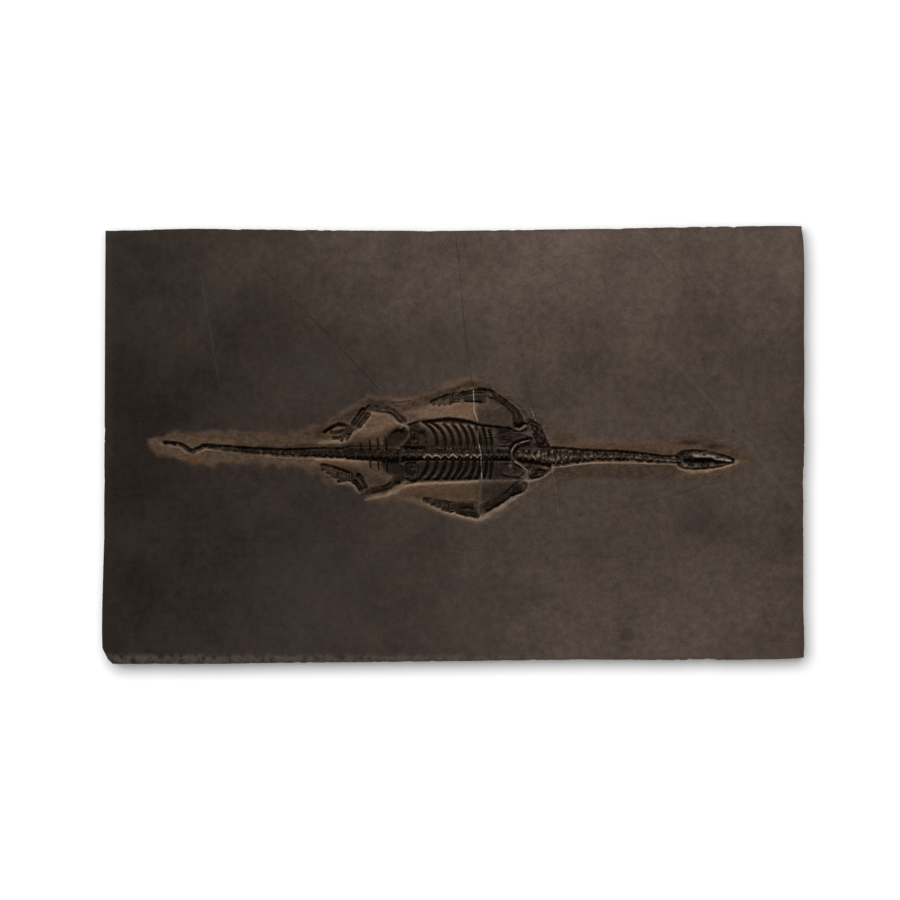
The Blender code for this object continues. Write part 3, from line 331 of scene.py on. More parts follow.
def smooth_line(points, shares):
    """Places on a Catmull-Rom curve through the points, at shares (0 to 1) of its length."""
    knots = np.array(points, float)
    knots = np.vstack([2 * knots[0] - knots[1], knots, 2 * knots[-1] - knots[-2]])
    a, b, c, d = knots[:-3, None], knots[1:-2, None], knots[2:-1, None], knots[3:, None]
    t = np.linspace(0.0, 1.0, LINE_STEPS, endpoint=False)[None, :, None]
    dense = 0.5 * (2 * b + (c - a) * t + (2 * a - 5 * b + 4 * c - d) * t ** 2 + (3 * b - a - 3 * c + d) * t ** 3)
    dense = np.vstack([dense.reshape(-1, knots.shape[1]), knots[-2]])
    run = np.concatenate([[0.0], np.cumsum(np.linalg.norm(np.diff(dense, axis=0), axis=1))])
    wanted = np.asarray(shares, float) * run[-1]
    return np.column_stack([np.interp(wanted, run, column) for column in dense.T])


def smooth_step(value, low, high):
    """0 below low, 1 above high, and 3s^2 - 2s^3 of the share s between them."""
    share = np.clip((value - low) / (high - low), 0.0, 1.0)
    return share * share * (3 - 2 * share)


def bump(value, centre, reach):
    """A bell of height 1: e to the minus square of the distance from the centre over the reach."""
    return np.exp(-((value - centre) / reach) ** 2)


def lattice_noise(x, y, cell, seed, octaves=3):
    """Noise from -1 to 1: seeded values on a square lattice, blended by smooth steps.

    Each octave halves the lattice's cell and the strength of the one before.
    """
    total, strength = np.zeros(np.shape(x)), 1.0
    for octave in range(octaves):
        values = np.random.default_rng(seed + octave).uniform(-1.0, 1.0, (LATTICE, LATTICE))
        px, py = x / cell, y / cell
        ix, iy = np.floor(px).astype(int), np.floor(py).astype(int)
        fx, fy = smooth_step(px - ix, 0.0, 1.0), smooth_step(py - iy, 0.0, 1.0)
        near, far = (values[ix % LATTICE, row] * (1 - fx) + values[(ix + 1) % LATTICE, row] * fx
                     for row in (iy % LATTICE, (iy + 1) % LATTICE))
        total += strength * (near * (1 - fy) + far * fy)
        cell, strength = 0.5 * cell, 0.5 * strength
    return total / (2 - 2 * strength)


def distance_outside(x, y, line, radii):
    """Distance from each place to a line that is as thick as its radii say, negative inside it."""
    nearest = np.full(x.shape, np.inf)
    for (ax, ay), (bx, by), first, last in zip(line, line[1:], radii, radii[1:]):
        length = (bx - ax) ** 2 + (by - ay) ** 2
        t = np.clip(((x - ax) * (bx - ax) + (y - ay) * (by - ay)) / length, 0.0, 1.0)
        reach = np.hypot(x - ax - t * (bx - ax), y - ay - t * (by - ay))
        nearest = np.minimum(nearest, reach - first - t * (last - first))
    return nearest


def nearest_line(x, y, lines):
    """Distance from each place to the nearest of several lines, given as (line, radii)."""
    return np.minimum.reduce([distance_outside(x, y, line, radii) for line, radii in lines])


def depth_inside(x, y, outline):
    """Distance from each place to a closed outline, positive inside it."""
    closed = list(outline) + [outline[0]]
    edge = distance_outside(x, y, closed, np.zeros(len(closed)))
    inside = np.zeros(x.shape, bool)
    for (ax, ay), (bx, by) in zip(closed, closed[1:]):
        if ay == by:
            continue
        inside ^= ((ay > y) != (by > y)) & (x < ax + (y - ay) * (bx - ax) / (by - ay))
    return np.where(inside, edge, -edge)


def ring_angles(sides):
    """Angles of a ring's points; the first is half a side past the line's left."""
    return 2 * np.pi * (np.arange(sides) + 0.5) / sides


def swept(line, half_width, half_height, level, sides):
    """Rings of an oval carried along a line, square to it and standing on the level.

    At angle a a ring's point is half_width cos a to the line's left and half_height (1 + sin a) up.
    """
    along = np.gradient(line, axis=0)
    along /= np.linalg.norm(along, axis=1)[:, None]
    across = np.column_stack([-along[:, 1], along[:, 0]])
    angle = ring_angles(sides)
    plan = line[:, None] + across[:, None] * (half_width[:, None] * np.cos(angle))[..., None]
    return np.dstack([plan, level + half_height[:, None] * (1 + np.sin(angle))])


def end_rounding(shares, reach):
    """Share of the full width left near the two ends: a quarter circle as long as the reach."""
    inward = np.clip(np.minimum(shares, 1 - shares) / reach, 0.0, 1.0)
    return np.sqrt(np.clip(1 - (1 - inward) ** 2, 0.03, 1.0))


def roughened(rings, amount, cell, seed):
    """Rings pushed out or in from their own centres by lattice noise of the given strength."""
    outward = rings - rings.mean(axis=1, keepdims=True)
    outward /= np.maximum(np.linalg.norm(outward, axis=2, keepdims=True), 1e-6)
    x, y, z = np.moveaxis(rings, 2, 0)
    return rings + outward * (amount * lattice_noise(x + 0.7 * z, y - 0.6 * z, cell, seed))[..., None]


def patches(rings, cell, seed):
    """Noise from 0 to 1 at the plan of each point."""
    return 0.5 + 0.5 * lattice_noise(rings[..., 0], rings[..., 1], cell, seed)


def shell(rings, pale=0.0):
    """A closed body through rings of points, its two ends closed by fans, and its paleness at each point."""
    count, sides = rings.shape[:2]
    index = np.arange(count * sides).reshape(count, sides)
    beside = np.roll(index, -1, axis=1)
    quads = np.stack([index[:-1], beside[:-1], beside[1:], index[1:]], axis=-1).reshape(-1, 4)
    first, last = np.full(sides, count * sides), np.full(sides, count * sides + 1)
    fans = np.vstack([np.column_stack([first, beside[0], index[0]]),
                      np.column_stack([last, index[-1], beside[-1]])])
    points = np.vstack([rings.reshape(-1, 3), rings[0].mean(axis=0), rings[-1].mean(axis=0)])
    pale = np.broadcast_to(pale, (count, sides))
    pale = np.concatenate([pale.ravel(), [pale[0].mean(), pale[-1].mean()]])
    a, b, c, d = (points[quads[:, corner]] for corner in range(4))
    if np.einsum("ij,ij->", a, np.cross(b, c)) + np.einsum("ij,ij->", a, np.cross(c, d)) < 0:
        quads, fans = quads[:, ::-1], fans[:, ::-1]
    return points, quads, fans, pale


def joined(shells):
    """Several closed bodies as one list of points, faces and paleness."""
    starts = np.cumsum([0] + [len(points) for points, *_ in shells[:-1]])
    return (np.vstack([points for points, *_ in shells]),
            np.vstack([quads + start for (_, quads, _, _), start in zip(shells, starts)]),
            np.vstack([fans + start for (_, _, fans, _), start in zip(shells, starts)]),
            np.concatenate([pale for *_, pale in shells]))


def add_piece(name, body, material, node, slot, sharp_angle=None, **masks):
    """A mesh from points in millimetres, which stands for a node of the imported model."""
    points, quads, fans, pale = body
    mesh = bpy.data.meshes.new(name)
    mesh.from_pydata((points * MM).tolist(), [], quads.tolist() + fans.tolist())
    for word, values in {"pale": pale, **masks}.items():
        attribute = mesh.attributes.new(word, "FLOAT", "POINT")
        attribute.data.foreach_set("value", np.asarray(values, np.float32))
    mesh.shade_smooth()
    if sharp_angle:
        mesh.set_sharp_from_angle(angle=sharp_angle)
    mesh.materials.append(material)
    obj = bpy.data.objects.new(name, mesh)
    bpy.context.scene.collection.objects.link(obj)
    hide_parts(node)
    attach(obj, "root")
    return obj


def rib_places():
    """Places along the spine where the ribs leave it."""
    pitches = np.linspace(RIB_PITCH_REAR, RIB_PITCH_FRONT, RIB_PAIRS - 1)
    return FIRST_RIB + np.concatenate([[0.0], np.cumsum(pitches)])


def rib_lines():
    """Centre line and radii of every rib, as (side, line, radii).

    A rib leaves the spine squarely, bends back at its knee and thins to its tip.
    """
    places = rib_places()
    shares = np.linspace(0.0, 1.0, 26)
    radii = np.interp(shares, (0.0, 1.0), (RIB_ROOT, RIB_TIP))
    left_sweeps, right_sweeps, tips = (
        np.interp(places, *zip(*table)) for table in (LEFT_SWEEPS, RIGHT_SWEEPS, LEFT_RIB_TIPS))
    found = []
    for number, (x, left, right, left_tip) in enumerate(zip(places, left_sweeps, right_sweeps, tips)):
        for side, sweep, tip, rise in ((1, left, left_tip, -LEFT_KNEE_RISE),
                                       (-1, right, RIGHT_RIB_TIP, RIGHT_KNEE_RISE)):
            if number == 0 and side == 1:
                continue
            knee = (x - KNEE_SWEEP * sweep, tip + rise)
            bend = (x + 0.2, 0.5 * (SPINE_Y + side * RIB_ROOT_INSIDE + knee[1]))
            points = [(x, SPINE_Y + side * RIB_ROOT_INSIDE), bend, knee, (x - sweep, tip)]
            found.append((side, smooth_line(points, shares), radii))
    return found


def tail_rib_lines():
    """Centre line and radii of the short ribs of the tail."""
    shares = np.linspace(0.0, 1.0, 12)
    found = []
    for tips, root, lean in ((TAIL_RIBS_LEFT, TAIL_RIB_ROOT_LEFT, -TAIL_RIB_LEAN),
                             (TAIL_RIBS_RIGHT, TAIL_RIB_ROOT_RIGHT, TAIL_RIB_LEAN)):
        for x, y in tips:
            line = smooth_line([(x, root), (x, 0.5 * (y + root)), (x + lean, y)], shares)
            found.append((line, np.full(len(shares), TAIL_RIB_RADIUS)))
    return found


def column_stations(line, widths, joints, steps):
    """Places along a row of vertebrae, their half widths and their phase, which is 0 at each joint."""
    count = len(joints) - 1
    phase = np.arange(count * steps + 1) / steps
    points = smooth_line(line, np.interp(phase, np.arange(count + 1), joints))
    width = np.interp(points[:, 0], *zip(*widths))
    return points, width, phase % 1.0


def trunk_joints():
    """Shares of the trunk at its vertebra joints: half way between ribs, and evenly spaced behind them."""
    places = rib_places()
    between = 0.5 * (places[1:] + places[:-1])
    behind = np.linspace(TRUNK_REAR, between[0], 5)[:-1]
    before = np.linspace(between[-1], TRUNK_FRONT, 5)[1:]
    return (TRUNK_FRONT - np.concatenate([behind, between, before]))[::-1] / (TRUNK_FRONT - TRUNK_REAR)


def columns():
    """The three rows of vertebrae by node name: places, half widths and phases."""
    trunk_line = [(TRUNK_FRONT, SPINE_Y), (0.0, SPINE_Y), (TRUNK_REAR, SPINE_Y)]
    trunk_widths = [(TRUNK_REAR, TRUNK_HALF_WIDTH), (TRUNK_FRONT, TRUNK_HALF_WIDTH)]
    tail_joints = np.linspace(0.0, 1.0, TAIL_VERTEBRAE + 1) ** TAIL_CROWDING
    neck_joints = np.linspace(0.0, 1.0, NECK_VERTEBRAE + 1)
    return {
        "back_vertebrae_and_ribs": column_stations(trunk_line, trunk_widths, trunk_joints(), 14),
        "tail_vertebrae": column_stations(TAIL_LINE, TAIL_WIDTH, tail_joints, 12),
        "neck_vertebrae": column_stations(NECK_LINE, NECK_WIDTH, neck_joints, 12),
    }


def limb_stations(line, first, last, shaft, count=44):
    """Places along a limb bone and its half widths, flared by a bell at each end and rounded off."""
    t = np.linspace(0.0, 1.0, count)
    width = shaft + (first - shaft) * bump(t, 0.0, FLARE_SHARE) + (last - shaft) * bump(t, 1.0, FLARE_SHARE)
    return smooth_line(line, t), width, t


def footprints():
    """Plan of every bone but the ribs, as {how high the stone reaches up it: [(centre line, radii)]}."""
    deep = [(points[::6], width[::6]) for points, width, _ in columns().values()]
    middle, shallow = [], []
    for line, first, last, shaft in LIMB_BONES.values():
        points, width, _ = limb_stations(line, first, last, shaft, 9)
        (deep if first > STOUT_LIMB else shallow).append((points, width))
    for (x, y, _, half_width), lines in EXTREMITIES.values():
        middle.append(([(x - 0.1, y), (x + 0.1, y)], [half_width, half_width]))
        middle += [(smooth_line(line, np.linspace(0.0, 1.0, 6)), np.full(6, DIGIT_TRENCH)) for line in lines]
    skull_x, skull_y, skull_width, _ = np.array(SKULL).T
    shallow.append((np.column_stack([skull_x, skull_y]), skull_width))
    deep.append((CLAVICLE_LINE, np.full(len(CLAVICLE_LINE), CLAVICLE_RADIUS)))
    plates = [(outline + outline[:1], np.full(len(outline) + 1, 0.1)) for outline, _ in PLATES.values()]
    return {DEEP_FILL: deep, MIDDLE_FILL: middle, SHALLOW_FILL: shallow, PLATE_FILL: plates}


def strongest_line(x, y, lines, wobble):
    """Strength at each place of soft stretches along lines, given as (start, end, reach, strength)."""
    strongest = np.zeros(x.shape)
    for start, end, reach, strength in lines:
        beside = distance_outside(x, y, [start, end], [0.0, 0.0]) + np.clip(wobble, -0.6 * reach, 0.6 * reach)
        strongest = np.maximum(strongest, strength * (1 - smooth_step(beside, 0.35 * reach, reach)))
    return strongest


def blurred(grid, reach):
    """The grid averaged over a square of cells, by running sums along both directions."""
    for axis in (0, 1):
        widths = [(reach + 1, reach) if direction == axis else (0, 0) for direction in (0, 1)]
        run = np.cumsum(np.pad(grid, widths, mode="edge"), axis=axis)
        ahead, behind = np.split(run, [2 * reach + 1], axis=axis)[1], np.delete(
            run, np.s_[-(2 * reach + 1):], axis=axis)
        grid = (ahead - behind) / (2 * reach + 1)
    return grid


def stone_face(x, y):
    """Height of the stone's face at each place, and the masks of its colours.

    The face swells a little. The dish goes down by a smooth step over its slope. Beside the basin its ground rises
    to a crest. The basin and the trenches go down by steeper steps, whichever is deeper, and the trenches are
    filled part of the way up the bones. Between the ribs the basin's floor humps up by a parabola, and in the rest
    of the basin it rises by a smooth step away from the bones, but for the painted shadow lines. Pits are sunk in it
    by two-way bells, and ridges stand on it along their lines.

    Masks: tan is how brown the worked ground is, sunk how deep it lies, bright how far it is worn bright, plus a
    painted highlight on the left rib humps, and dull how much darker it is. Rubbed is where it stands above its
    surroundings, as wear, and along the rims that face the light, as wear and painted highlight. Painted shade is
    where it lies below them, near the spine between the ribs (more on the right), at a rib's foot, and as painted
    shadow along the shadow lines.
    """
    wobble, chisel = lattice_noise(x, y, 5.0, 11), lattice_noise(x, y, 1.6, 23)
    dish_inside = depth_inside(x, y, DISH_OUTLINE) + 1.2 * wobble
    lowered = smooth_step(dish_inside, 0.0, DISH_SLOPE)
    dish = np.interp(x, *zip(*DISH_DEPTHS)) * lowered
    basin = depth_inside(x, y, BASIN_OUTLINE) + 0.3 * chisel
    pit = smooth_step(basin / np.interp(x, *zip(*BASIN_WALLS)), -0.5, 0.5)
    rim = 1 - smooth_step(-basin, 0.0, CREST_REACH)
    ground = dish - CREST_HEIGHT * rim * lowered
    depth = ground + (BONE_DEPTH - ground) * pit
    away = np.full(x.shape, np.inf)
    for fill, lines in footprints().items():
        reach = nearest_line(x, y, lines)
        if fill < PLATE_FILL:
            away = np.minimum(away, reach)
        beside = 1 - smooth_step(reach + 0.25 * chisel, 0.0, TRENCH_WALL)
        filled = BONE_DEPTH - fill * (1.0 + 0.4 * wobble + 0.5 * chisel)
        depth = np.maximum(depth, ground + (filled - ground) * beside)
    trench = 1 - smooth_step(away + 0.25 * chisel, 0.0, TRENCH_WALL)

    groove = nearest_line(x, y, [(line[::5], RIB_SLIMNESS * radii[::5]) for _, line, radii in rib_lines()])
    beside_spine = np.where(y > SPINE_Y, smooth_step(y - SPINE_Y, 2.4, 3.8), smooth_step(SPINE_Y - y, 2.6, 4.2))
    shadowed = strongest_line(x, y, PAINTED_SHADOW_LINES, 0.4 * chisel)
    caged = smooth_step(basin, -0.3, 1.0) * smooth_step(x, -19.5, -15.5) * (1 - smooth_step(x, 20.0, 25.0))
    ribbed = caged * beside_spine * (1 - 0.8 * shadowed)
    hump = 1 - (1 - np.clip(groove / RIB_GROUND_REACH, 0.0, 1.0)) ** 2
    depth -= ribbed * RIB_GROUND * hump * (1 + 0.25 * wobble)
    plain = pit * (1 - caged) * (1 - shadowed) * smooth_step(away, 0.4, 1.8)
    depth -= plain * (0.9 + 0.5 * wobble + 0.25 * chisel)
    for pit_x, pit_y, half_length, half_width, pit_depth in FLOOR_PITS:
        depth += pit_depth * bump(x, pit_x, half_length) * bump(y, pit_y, half_width) * (1 - trench)
    for line, radius, ridge_height in STONE_RIDGES:
        beside = distance_outside(x, y, line, np.full(len(line), radius))
        ridge = 1 - smooth_step(beside + 0.3 * chisel, 0.0, 0.9)
        lift = ridge_height * (0.9 + 0.3 * wobble + 0.2 * chisel)
        depth -= ridge * np.maximum(depth - BONE_DEPTH + lift, 0.0)
    depth = np.clip(depth, 0.0, BONE_DEPTH + FLOOR_CLEARANCE)

    swell = 0.1 + 0.08 * lattice_noise(x, y, 46.0, 5)
    worked = smooth_step(dish_inside, -2.0, 5.0)
    texture = 0.015 * chisel + worked * (0.06 * chisel + 0.08 * wobble)
    height = STONE_TOP - FACE_CLEARANCE - np.maximum(swell + texture, 0.0) - depth
    standing = height - blurred(height, 4)
    fine = height - blurred(height, 2)
    brown = smooth_step(dish_inside + 1.5 * wobble, -3.5, 2.0)
    bright = strongest_line(x, y, BRIGHT_GROUND, 0.9 * wobble) * (1 - pit) * smooth_step(away, 0.0, 0.8)
    # Rims rubbed pale: partly wear, partly a painted highlight where the rims face the light
    edges = strongest_line(x, y, RUBBED_AND_HIGHLIT_RIMS, 0.25 * chisel) * smooth_step(away, -0.2, 0.4)
    rubbed_and_highlit = np.clip(0.7 * standing + 0.9 * fine + edges * (0.8 + 0.4 * chisel), 0.0, 1.0)
    # Painted shade between the ribs: darker near the spine, more so on the animal's right, which slopes from the
    # light, and at each rib's foot; then painted shade where the face lies low, and painted shadow along the shadow
    # lines
    by_spine = 1 - smooth_step(np.abs(y - SPINE_Y), 3.5, 11.0)
    painted_rib_shade = ribbed * np.where(y > SPINE_Y, 0.15 + 0.75 * by_spine, 0.4 + 0.5 * by_spine)
    painted_rib_shade = np.maximum(painted_rib_shade, 0.85 * ribbed * (1 - smooth_step(groove, 0.0, 1.0)))
    painted_shade = np.maximum(np.clip(-2.2 * standing - 2.0 * fine, 0.0, 1.0), painted_rib_shade * (1 + 0.2 * chisel))
    painted_shade = np.maximum(painted_shade, shadowed)
    rubbed_and_highlit *= 1 - 0.9 * painted_rib_shade
    sunk = smooth_step(depth, 1.5, 2.5)
    dull = strongest_line(x, y, DULL_GROUND, 1.2 * wobble)
    # Painted highlight: the rib humps on the animal's left, which slope towards the light, are made brighter
    bright = np.clip(bright + 0.3 * ribbed * hump * smooth_step(y, 1.0, 7.0), 0.0, 1.0)
    return height, {"tan": brown, "sunk": sunk, "bright": bright, "rubbed_and_highlit": rubbed_and_highlit, "painted_shade": painted_shade,
                    "dull": dull}


def chips(run, seed):
    """How far an edge is chipped in at each place along it: noise above its middle, and rarer deeper bites."""
    small = np.maximum(lattice_noise(run, 0.0 * run, 3.0, seed), 0.0)
    bites = smooth_step(lattice_noise(run, 0.0 * run + 7.0, 14.0, seed), 0.45, 0.8)
    return 0.45 * small + 0.8 * bites * (0.5 + small)


def stone_grid():
    """Places of the face's grid, which is finest over the skeleton.

    Columns crowd where the bells of the trunk, the skull and the tail's tip stand, by the inverse of their summed
    density. In each column most rows share the fine band evenly, and the others spread by a smooth step to the
    edges, so they crowd again at the edges.
    """
    dense = np.linspace(-1.0, 1.0, 4000)
    x = dense * SLAB_HALF_LENGTH
    skeleton = smooth_step(x, -158.0, -150.0) * (1 - smooth_step(x, 148.0, 156.0))
    density = 0.16 + bump(x, -8.0, 62.0) + 0.75 * skeleton
    run = np.cumsum(density)
    across = np.interp(np.linspace(run[0], run[-1], COLUMNS), run, dense)
    rows = np.linspace(-1.0, 1.0, ROWS)
    across, row = (grid.T for grid in np.meshgrid(across, rows))
    rough_x = across * SLAB_HALF_LENGTH
    low, high = (np.interp(rough_x, [band[0] for band in FINE_BAND], [band[side] for band in FINE_BAND])
                 for side in (1, 2))
    front, back = (np.interp(rough_x, *np.array(edge).T) for edge in (FRONT_EDGE, BACK_EDGE))
    front, back = (edge - np.sign(edge) * chips(rough_x, seed) for edge, seed in ((front, 109), (back, 113)))
    within = low + (high - low) * (row / BAND_SHARE + 1) / 2
    beyond = smooth_step(np.abs(row), BAND_SHARE, 1.0)
    y = np.where(row > 0, np.minimum(within, high) + (back - high) * beyond,
                 np.maximum(within, low) + (front - low) * beyond)
    left, right = (np.interp(y, *np.array(edge).T) for edge in (LEFT_EDGE, RIGHT_EDGE))
    left, right = (edge - np.sign(edge) * chips(y, seed) for edge, seed in ((left, 103), (right, 107)))
    return left + (right - left) * (across + 1) / 2, y


def stone_body():
    """The slab: its face's grid, broken sides in rings that step in by noise, and a flat underside.

    Returns the body and the masks of its face.
    """
    x, y = stone_grid()
    z, masks = stone_face(x, y)
    border = np.ones((COLUMNS, ROWS))
    border[1:-1, 1:-1] = 0.0
    index = np.arange(COLUMNS * ROWS).reshape(COLUMNS, ROWS)
    quads = [np.stack([index[:-1, :-1], index[1:, :-1], index[1:, 1:], index[:-1, 1:]], -1).reshape(-1, 4)]
    rim = np.concatenate([index[:, 0], index[-1, 1:], index[-2::-1, -1], index[0, -2:0:-1]])
    face = np.column_stack([x.ravel(), y.ravel(), z.ravel()])
    edge = face[rim]
    reach = np.abs(edge[:, :2]) / (SLAB_HALF_LENGTH, SLAB_HALF_DEPTH)
    inward = np.where(reach > np.max(reach, axis=1, keepdims=True) - 1e-3, -np.sign(edge[:, :2]), 0.0)
    run = np.concatenate([[0.0], np.cumsum(np.linalg.norm(np.diff(edge[:, :2], axis=0), axis=1))])
    rings = []
    for number, (level, inset) in enumerate(SIDE_RINGS):
        height = np.full(len(edge), level * STONE_TOP) if number else level * edge[:, 2]
        broken = 0.5 + 0.5 * lattice_noise(run, height * 3.0, 9.0, 41)
        ring = edge[:, :2] + inward * (inset * (0.4 + 1.2 * broken))[:, None]
        rings.append(np.column_stack([ring, height]))
    rings = np.stack(rings)
    start, length = len(face), len(rim)
    ring_index = start + np.arange(len(rings) * length).reshape(len(rings), length)
    ring_index = np.vstack([rim, ring_index])
    beside = np.roll(ring_index, -1, axis=1)
    quads.append(np.stack([ring_index[:-1], ring_index[1:], beside[1:], beside[:-1]], -1).reshape(-1, 4))
    middle = start + rings.shape[0] * length
    fans = np.column_stack([ring_index[-1], np.full(length, middle), beside[-1]])
    points = np.vstack([face, rings.reshape(-1, 3), np.zeros(3)])
    spare = np.zeros(len(points) - start)
    masks = {word: np.concatenate([values.ravel(), spare]) for word, values in masks.items()}
    masks["side"] = np.concatenate([border.ravel() * 0.3, spare + 1.0])
    return (points, np.vstack(quads), fans, np.zeros(len(points))), masks


def vertebra_rings(points, width, phase, sides, right, crusting):
    """A row of vertebrae as one swept body, and its paleness. Right is +1 or -1: the animal's right across a ring.

    The half width swells by a power to each joint. Right of the middle a ridge zigzags from joint to joint,
    left of it lies a row of low knobs with fine strokes across them, and a bell across each joint sinks a
    groove. Crusting is how pale the ridge is.
    """
    angle = ring_angles(sides)
    across, upper = right * np.cos(angle)[None], np.clip(1.6 * np.sin(angle), 0.0, 1.0)[None]
    joint = np.abs(2 * phase - 1)[:, None]
    half_width = width * (0.8 + 0.26 * joint[:, 0] ** 3)
    half_height = np.minimum(np.minimum(0.5 * width, 0.3 + 0.2 * width), 0.85) * (1 - 0.14 * joint[:, 0])
    ends = end_rounding(np.linspace(0.0, 1.0, len(points)), 0.006)
    rings = swept(points, half_width * ends, half_height * ends, BONE_LEVEL, sides)
    uneven = lattice_noise(points[:, 0], 0.0 * points[:, 0], 2.6, 97)[:, None]
    ridge = bump(across, 0.66 - (0.42 + 0.25 * uneven) * (1 - joint), 0.2 + 0.05 * uneven)
    knobs = bump(across, -0.55, 0.28) * (1 - joint ** 2)
    groove = bump(joint, 1.0, 0.25) * bump(across, -0.4, 0.7)
    rings[..., 2] += half_height[:, None] * upper * (0.5 * ridge + 0.45 * knobs - 0.8 * groove - 0.15)
    rings = roughened(rings, 0.2, 1.0, 71)
    crust, grains = patches(rings, 5.0, 83), patches(rings, 0.9, 89)
    strokes = lattice_noise(rings[..., 0], 0.12 * rings[..., 1], 0.62, 101, 2)
    beside = bump(across, -0.6, 0.34)
    rings[..., 2] += 0.3 * upper * strokes * beside
    pale = crusting * ridge * smooth_step(crust, 0.05, 0.5) * smooth_step(grains, 0.2, 0.55)
    pale += 0.3 * bump(across, 0.02, 0.3) * (0.4 + 0.6 * crust) + 0.35 * beside * smooth_step(strokes, 0.25, 0.7)
    return rings, np.clip(pale, 0.0, 1.0) * upper


def rib_shells(lines, sides=12, rise=0.0):
    """Ribs as swept ovals that swell at the head, thin to a rounded tip and climb by the rise towards it."""
    found = []
    for number, (line, radii) in enumerate(lines):
        t = np.linspace(0.0, 1.0, len(line))
        width = RIB_SLIMNESS * radii * (1 + 0.5 * bump(t, 0.0, 0.12)) * end_rounding(t, 0.05)
        height = radii * (1.0 - 0.15 * t) * end_rounding(t, 0.05)
        rings = swept(line, width, height, (BONE_LEVEL + rise * t)[:, None], sides)
        rings = roughened(rings, 0.08, 1.3, 90 + number)
        found.append(shell(rings, 0.6 * bump(t, 0.0, 0.08)[:, None] - 0.4))
    return found


def trunk_body():
    """Back vertebrae with their ribs, and the thin belly rods seen between the front ribs."""
    points, width, phase = columns()["back_vertebrae_and_ribs"]
    crusted = smooth_step(points[:, :1], -16.0, -14.0) * (1 - 0.8 * smooth_step(points[:, :1], 13.0, 15.5))
    shells = [shell(*vertebra_rings(points, width, phase, 30, 1, 0.15 + 0.85 * crusted))]
    shells += rib_shells([(line, radii) for _, line, radii in rib_lines()])
    shares = np.linspace(0.0, 1.0, 14)
    radii = BELLY_ROD_RADIUS * end_rounding(shares, 0.2)
    for y in BELLY_ROD_PLACES:
        line = smooth_line([(BELLY_ROD_FRONT, y - 1.2), (21.0, y), (BELLY_ROD_REAR, y + 0.5)], shares)
        shells.append(shell(swept(line, radii, radii, BONE_LEVEL + 0.9, 6), 0.1))
    return joined(shells)


def tail_body():
    """Tail vertebrae, faintly pale, with the short ribs of the first few."""
    points, width, phase = columns()["tail_vertebrae"]
    rings, pale = vertebra_rings(points, width, phase, 20, 1, 0.45)
    shells = [shell(rings, 0.28 * pale)]
    return joined(shells + rib_shells(tail_rib_lines(), 8, TAIL_RIB_RISE))


def neck_body():
    """Neck vertebrae with pale specks by noise and, near the chest, a faint pale bar across each middle."""
    points, width, phase = columns()["neck_vertebrae"]
    rings, pale = vertebra_rings(points, width, phase, 26, -1, 0.3)
    specks = 0.5 + 0.5 * lattice_noise(rings[..., 0] + 0.5 * rings[..., 1], rings[..., 1], 0.8, 131, 2)
    strength = 0.32 + 0.12 * smooth_step(-points[:, :1], -62.0, -52.0)
    pale += strength * smooth_step(specks, 0.5, 0.75) * (rings[..., 2] > BONE_LEVEL + 0.6)
    bars = 0.15 * bump(phase, 0.5, 0.14)[:, None] * smooth_step(points[:, :1], 75.0, 40.0)
    return shell(rings, np.clip(pale + bars, 0.0, 1.0))


def limb_body(name):
    """A long bone: a swept oval flared at both ends, with a low keel along it and a hollow face at each end.

    It is paler on top and at the ends by noise. The right limbs are darker and nearly bare of stone.
    """
    points, width, t = limb_stations(*LIMB_BONES[name])
    width = width * end_rounding(t, 0.07)
    sides = 22
    rings = swept(points, width, LIMB_FLATNESS * width, BONE_LEVEL, sides)
    angle = ring_angles(sides)
    upper = np.clip(np.sin(angle), 0.0, 1.0)[None]
    keel = bump(np.cos(angle)[None], 0.25, 0.3) * upper * bump(t, 0.5, 0.3)[:, None]
    cup = bump(np.cos(angle)[None], -0.1, 0.5) * upper * (bump(t, 0.07, 0.06) + bump(t, 0.93, 0.06))[:, None]
    rings[..., 2] += width[:, None] * (0.16 * keel - 0.22 * cup)
    rings = roughened(roughened(rings, 0.2, 2.6, sum(map(ord, name))), 0.16, 0.9, len(name))
    crust = patches(rings, 2.5, 57)
    rim = bump(t, 0.0, 0.05) + bump(t, 1.0, 0.05)
    middle = smooth_step(upper, 0.72, 0.95) * (0.4 + 0.6 * crust) * (0.34 if name in WORN_LIMBS else 0.16)
    pale = 0.12 * rim[:, None] * crust + 0.2 * smooth_step(crust, 0.72, 0.8) + middle
    bare = 0.35 * name.endswith("_right")
    return shell(rings, np.clip(pale, 0.0, 1.0) - bare)


def pebble(x, y, half_length, half_width, half_height, sides=10, stations=7):
    """A small rounded bone: an oval whose half width follows a half circle along its length."""
    t = np.linspace(0.0, 1.0, stations)
    line = np.column_stack([x + half_length * (2 * t - 1), np.full(stations, y)])
    round_off = np.sqrt(np.clip(1 - (2 * t - 1) ** 2, 0.05, 1.0))
    return swept(line, half_width * round_off, half_height * round_off, BONE_LEVEL, sides)


def digit_shells(line):
    """A finger or toe as its separate bones, each waisted by a parabola between two knuckles."""
    run = float(np.linalg.norm(np.diff(np.array(line), axis=0), axis=1).sum())
    bones = max(2, round(run / PHALANX_LENGTH))
    gap = 0.5 * PHALANX_GAP / run
    lengths = np.linspace(1.35, 0.75, bones)
    joints = np.concatenate([[0.0], np.cumsum(lengths)]) / lengths.sum()
    u = np.linspace(0.0, 1.0, 9)
    found = []
    for number, (start, end) in enumerate(zip(joints, joints[1:])):
        points = smooth_line(line, start + gap + (end - start - 2 * gap) * u)
        taper = 1.0 - 0.35 * number / bones
        width = taper * (SHAFT + (KNUCKLE - SHAFT) * (2 * u - 1) ** 2) * end_rounding(u, 0.14)
        found.append(shell(roughened(swept(points, width, 0.8 * width, BONE_LEVEL, 8), 0.07, 0.8, number),
                           0.4 * (2 * u - 1)[:, None] ** 4))
    return found


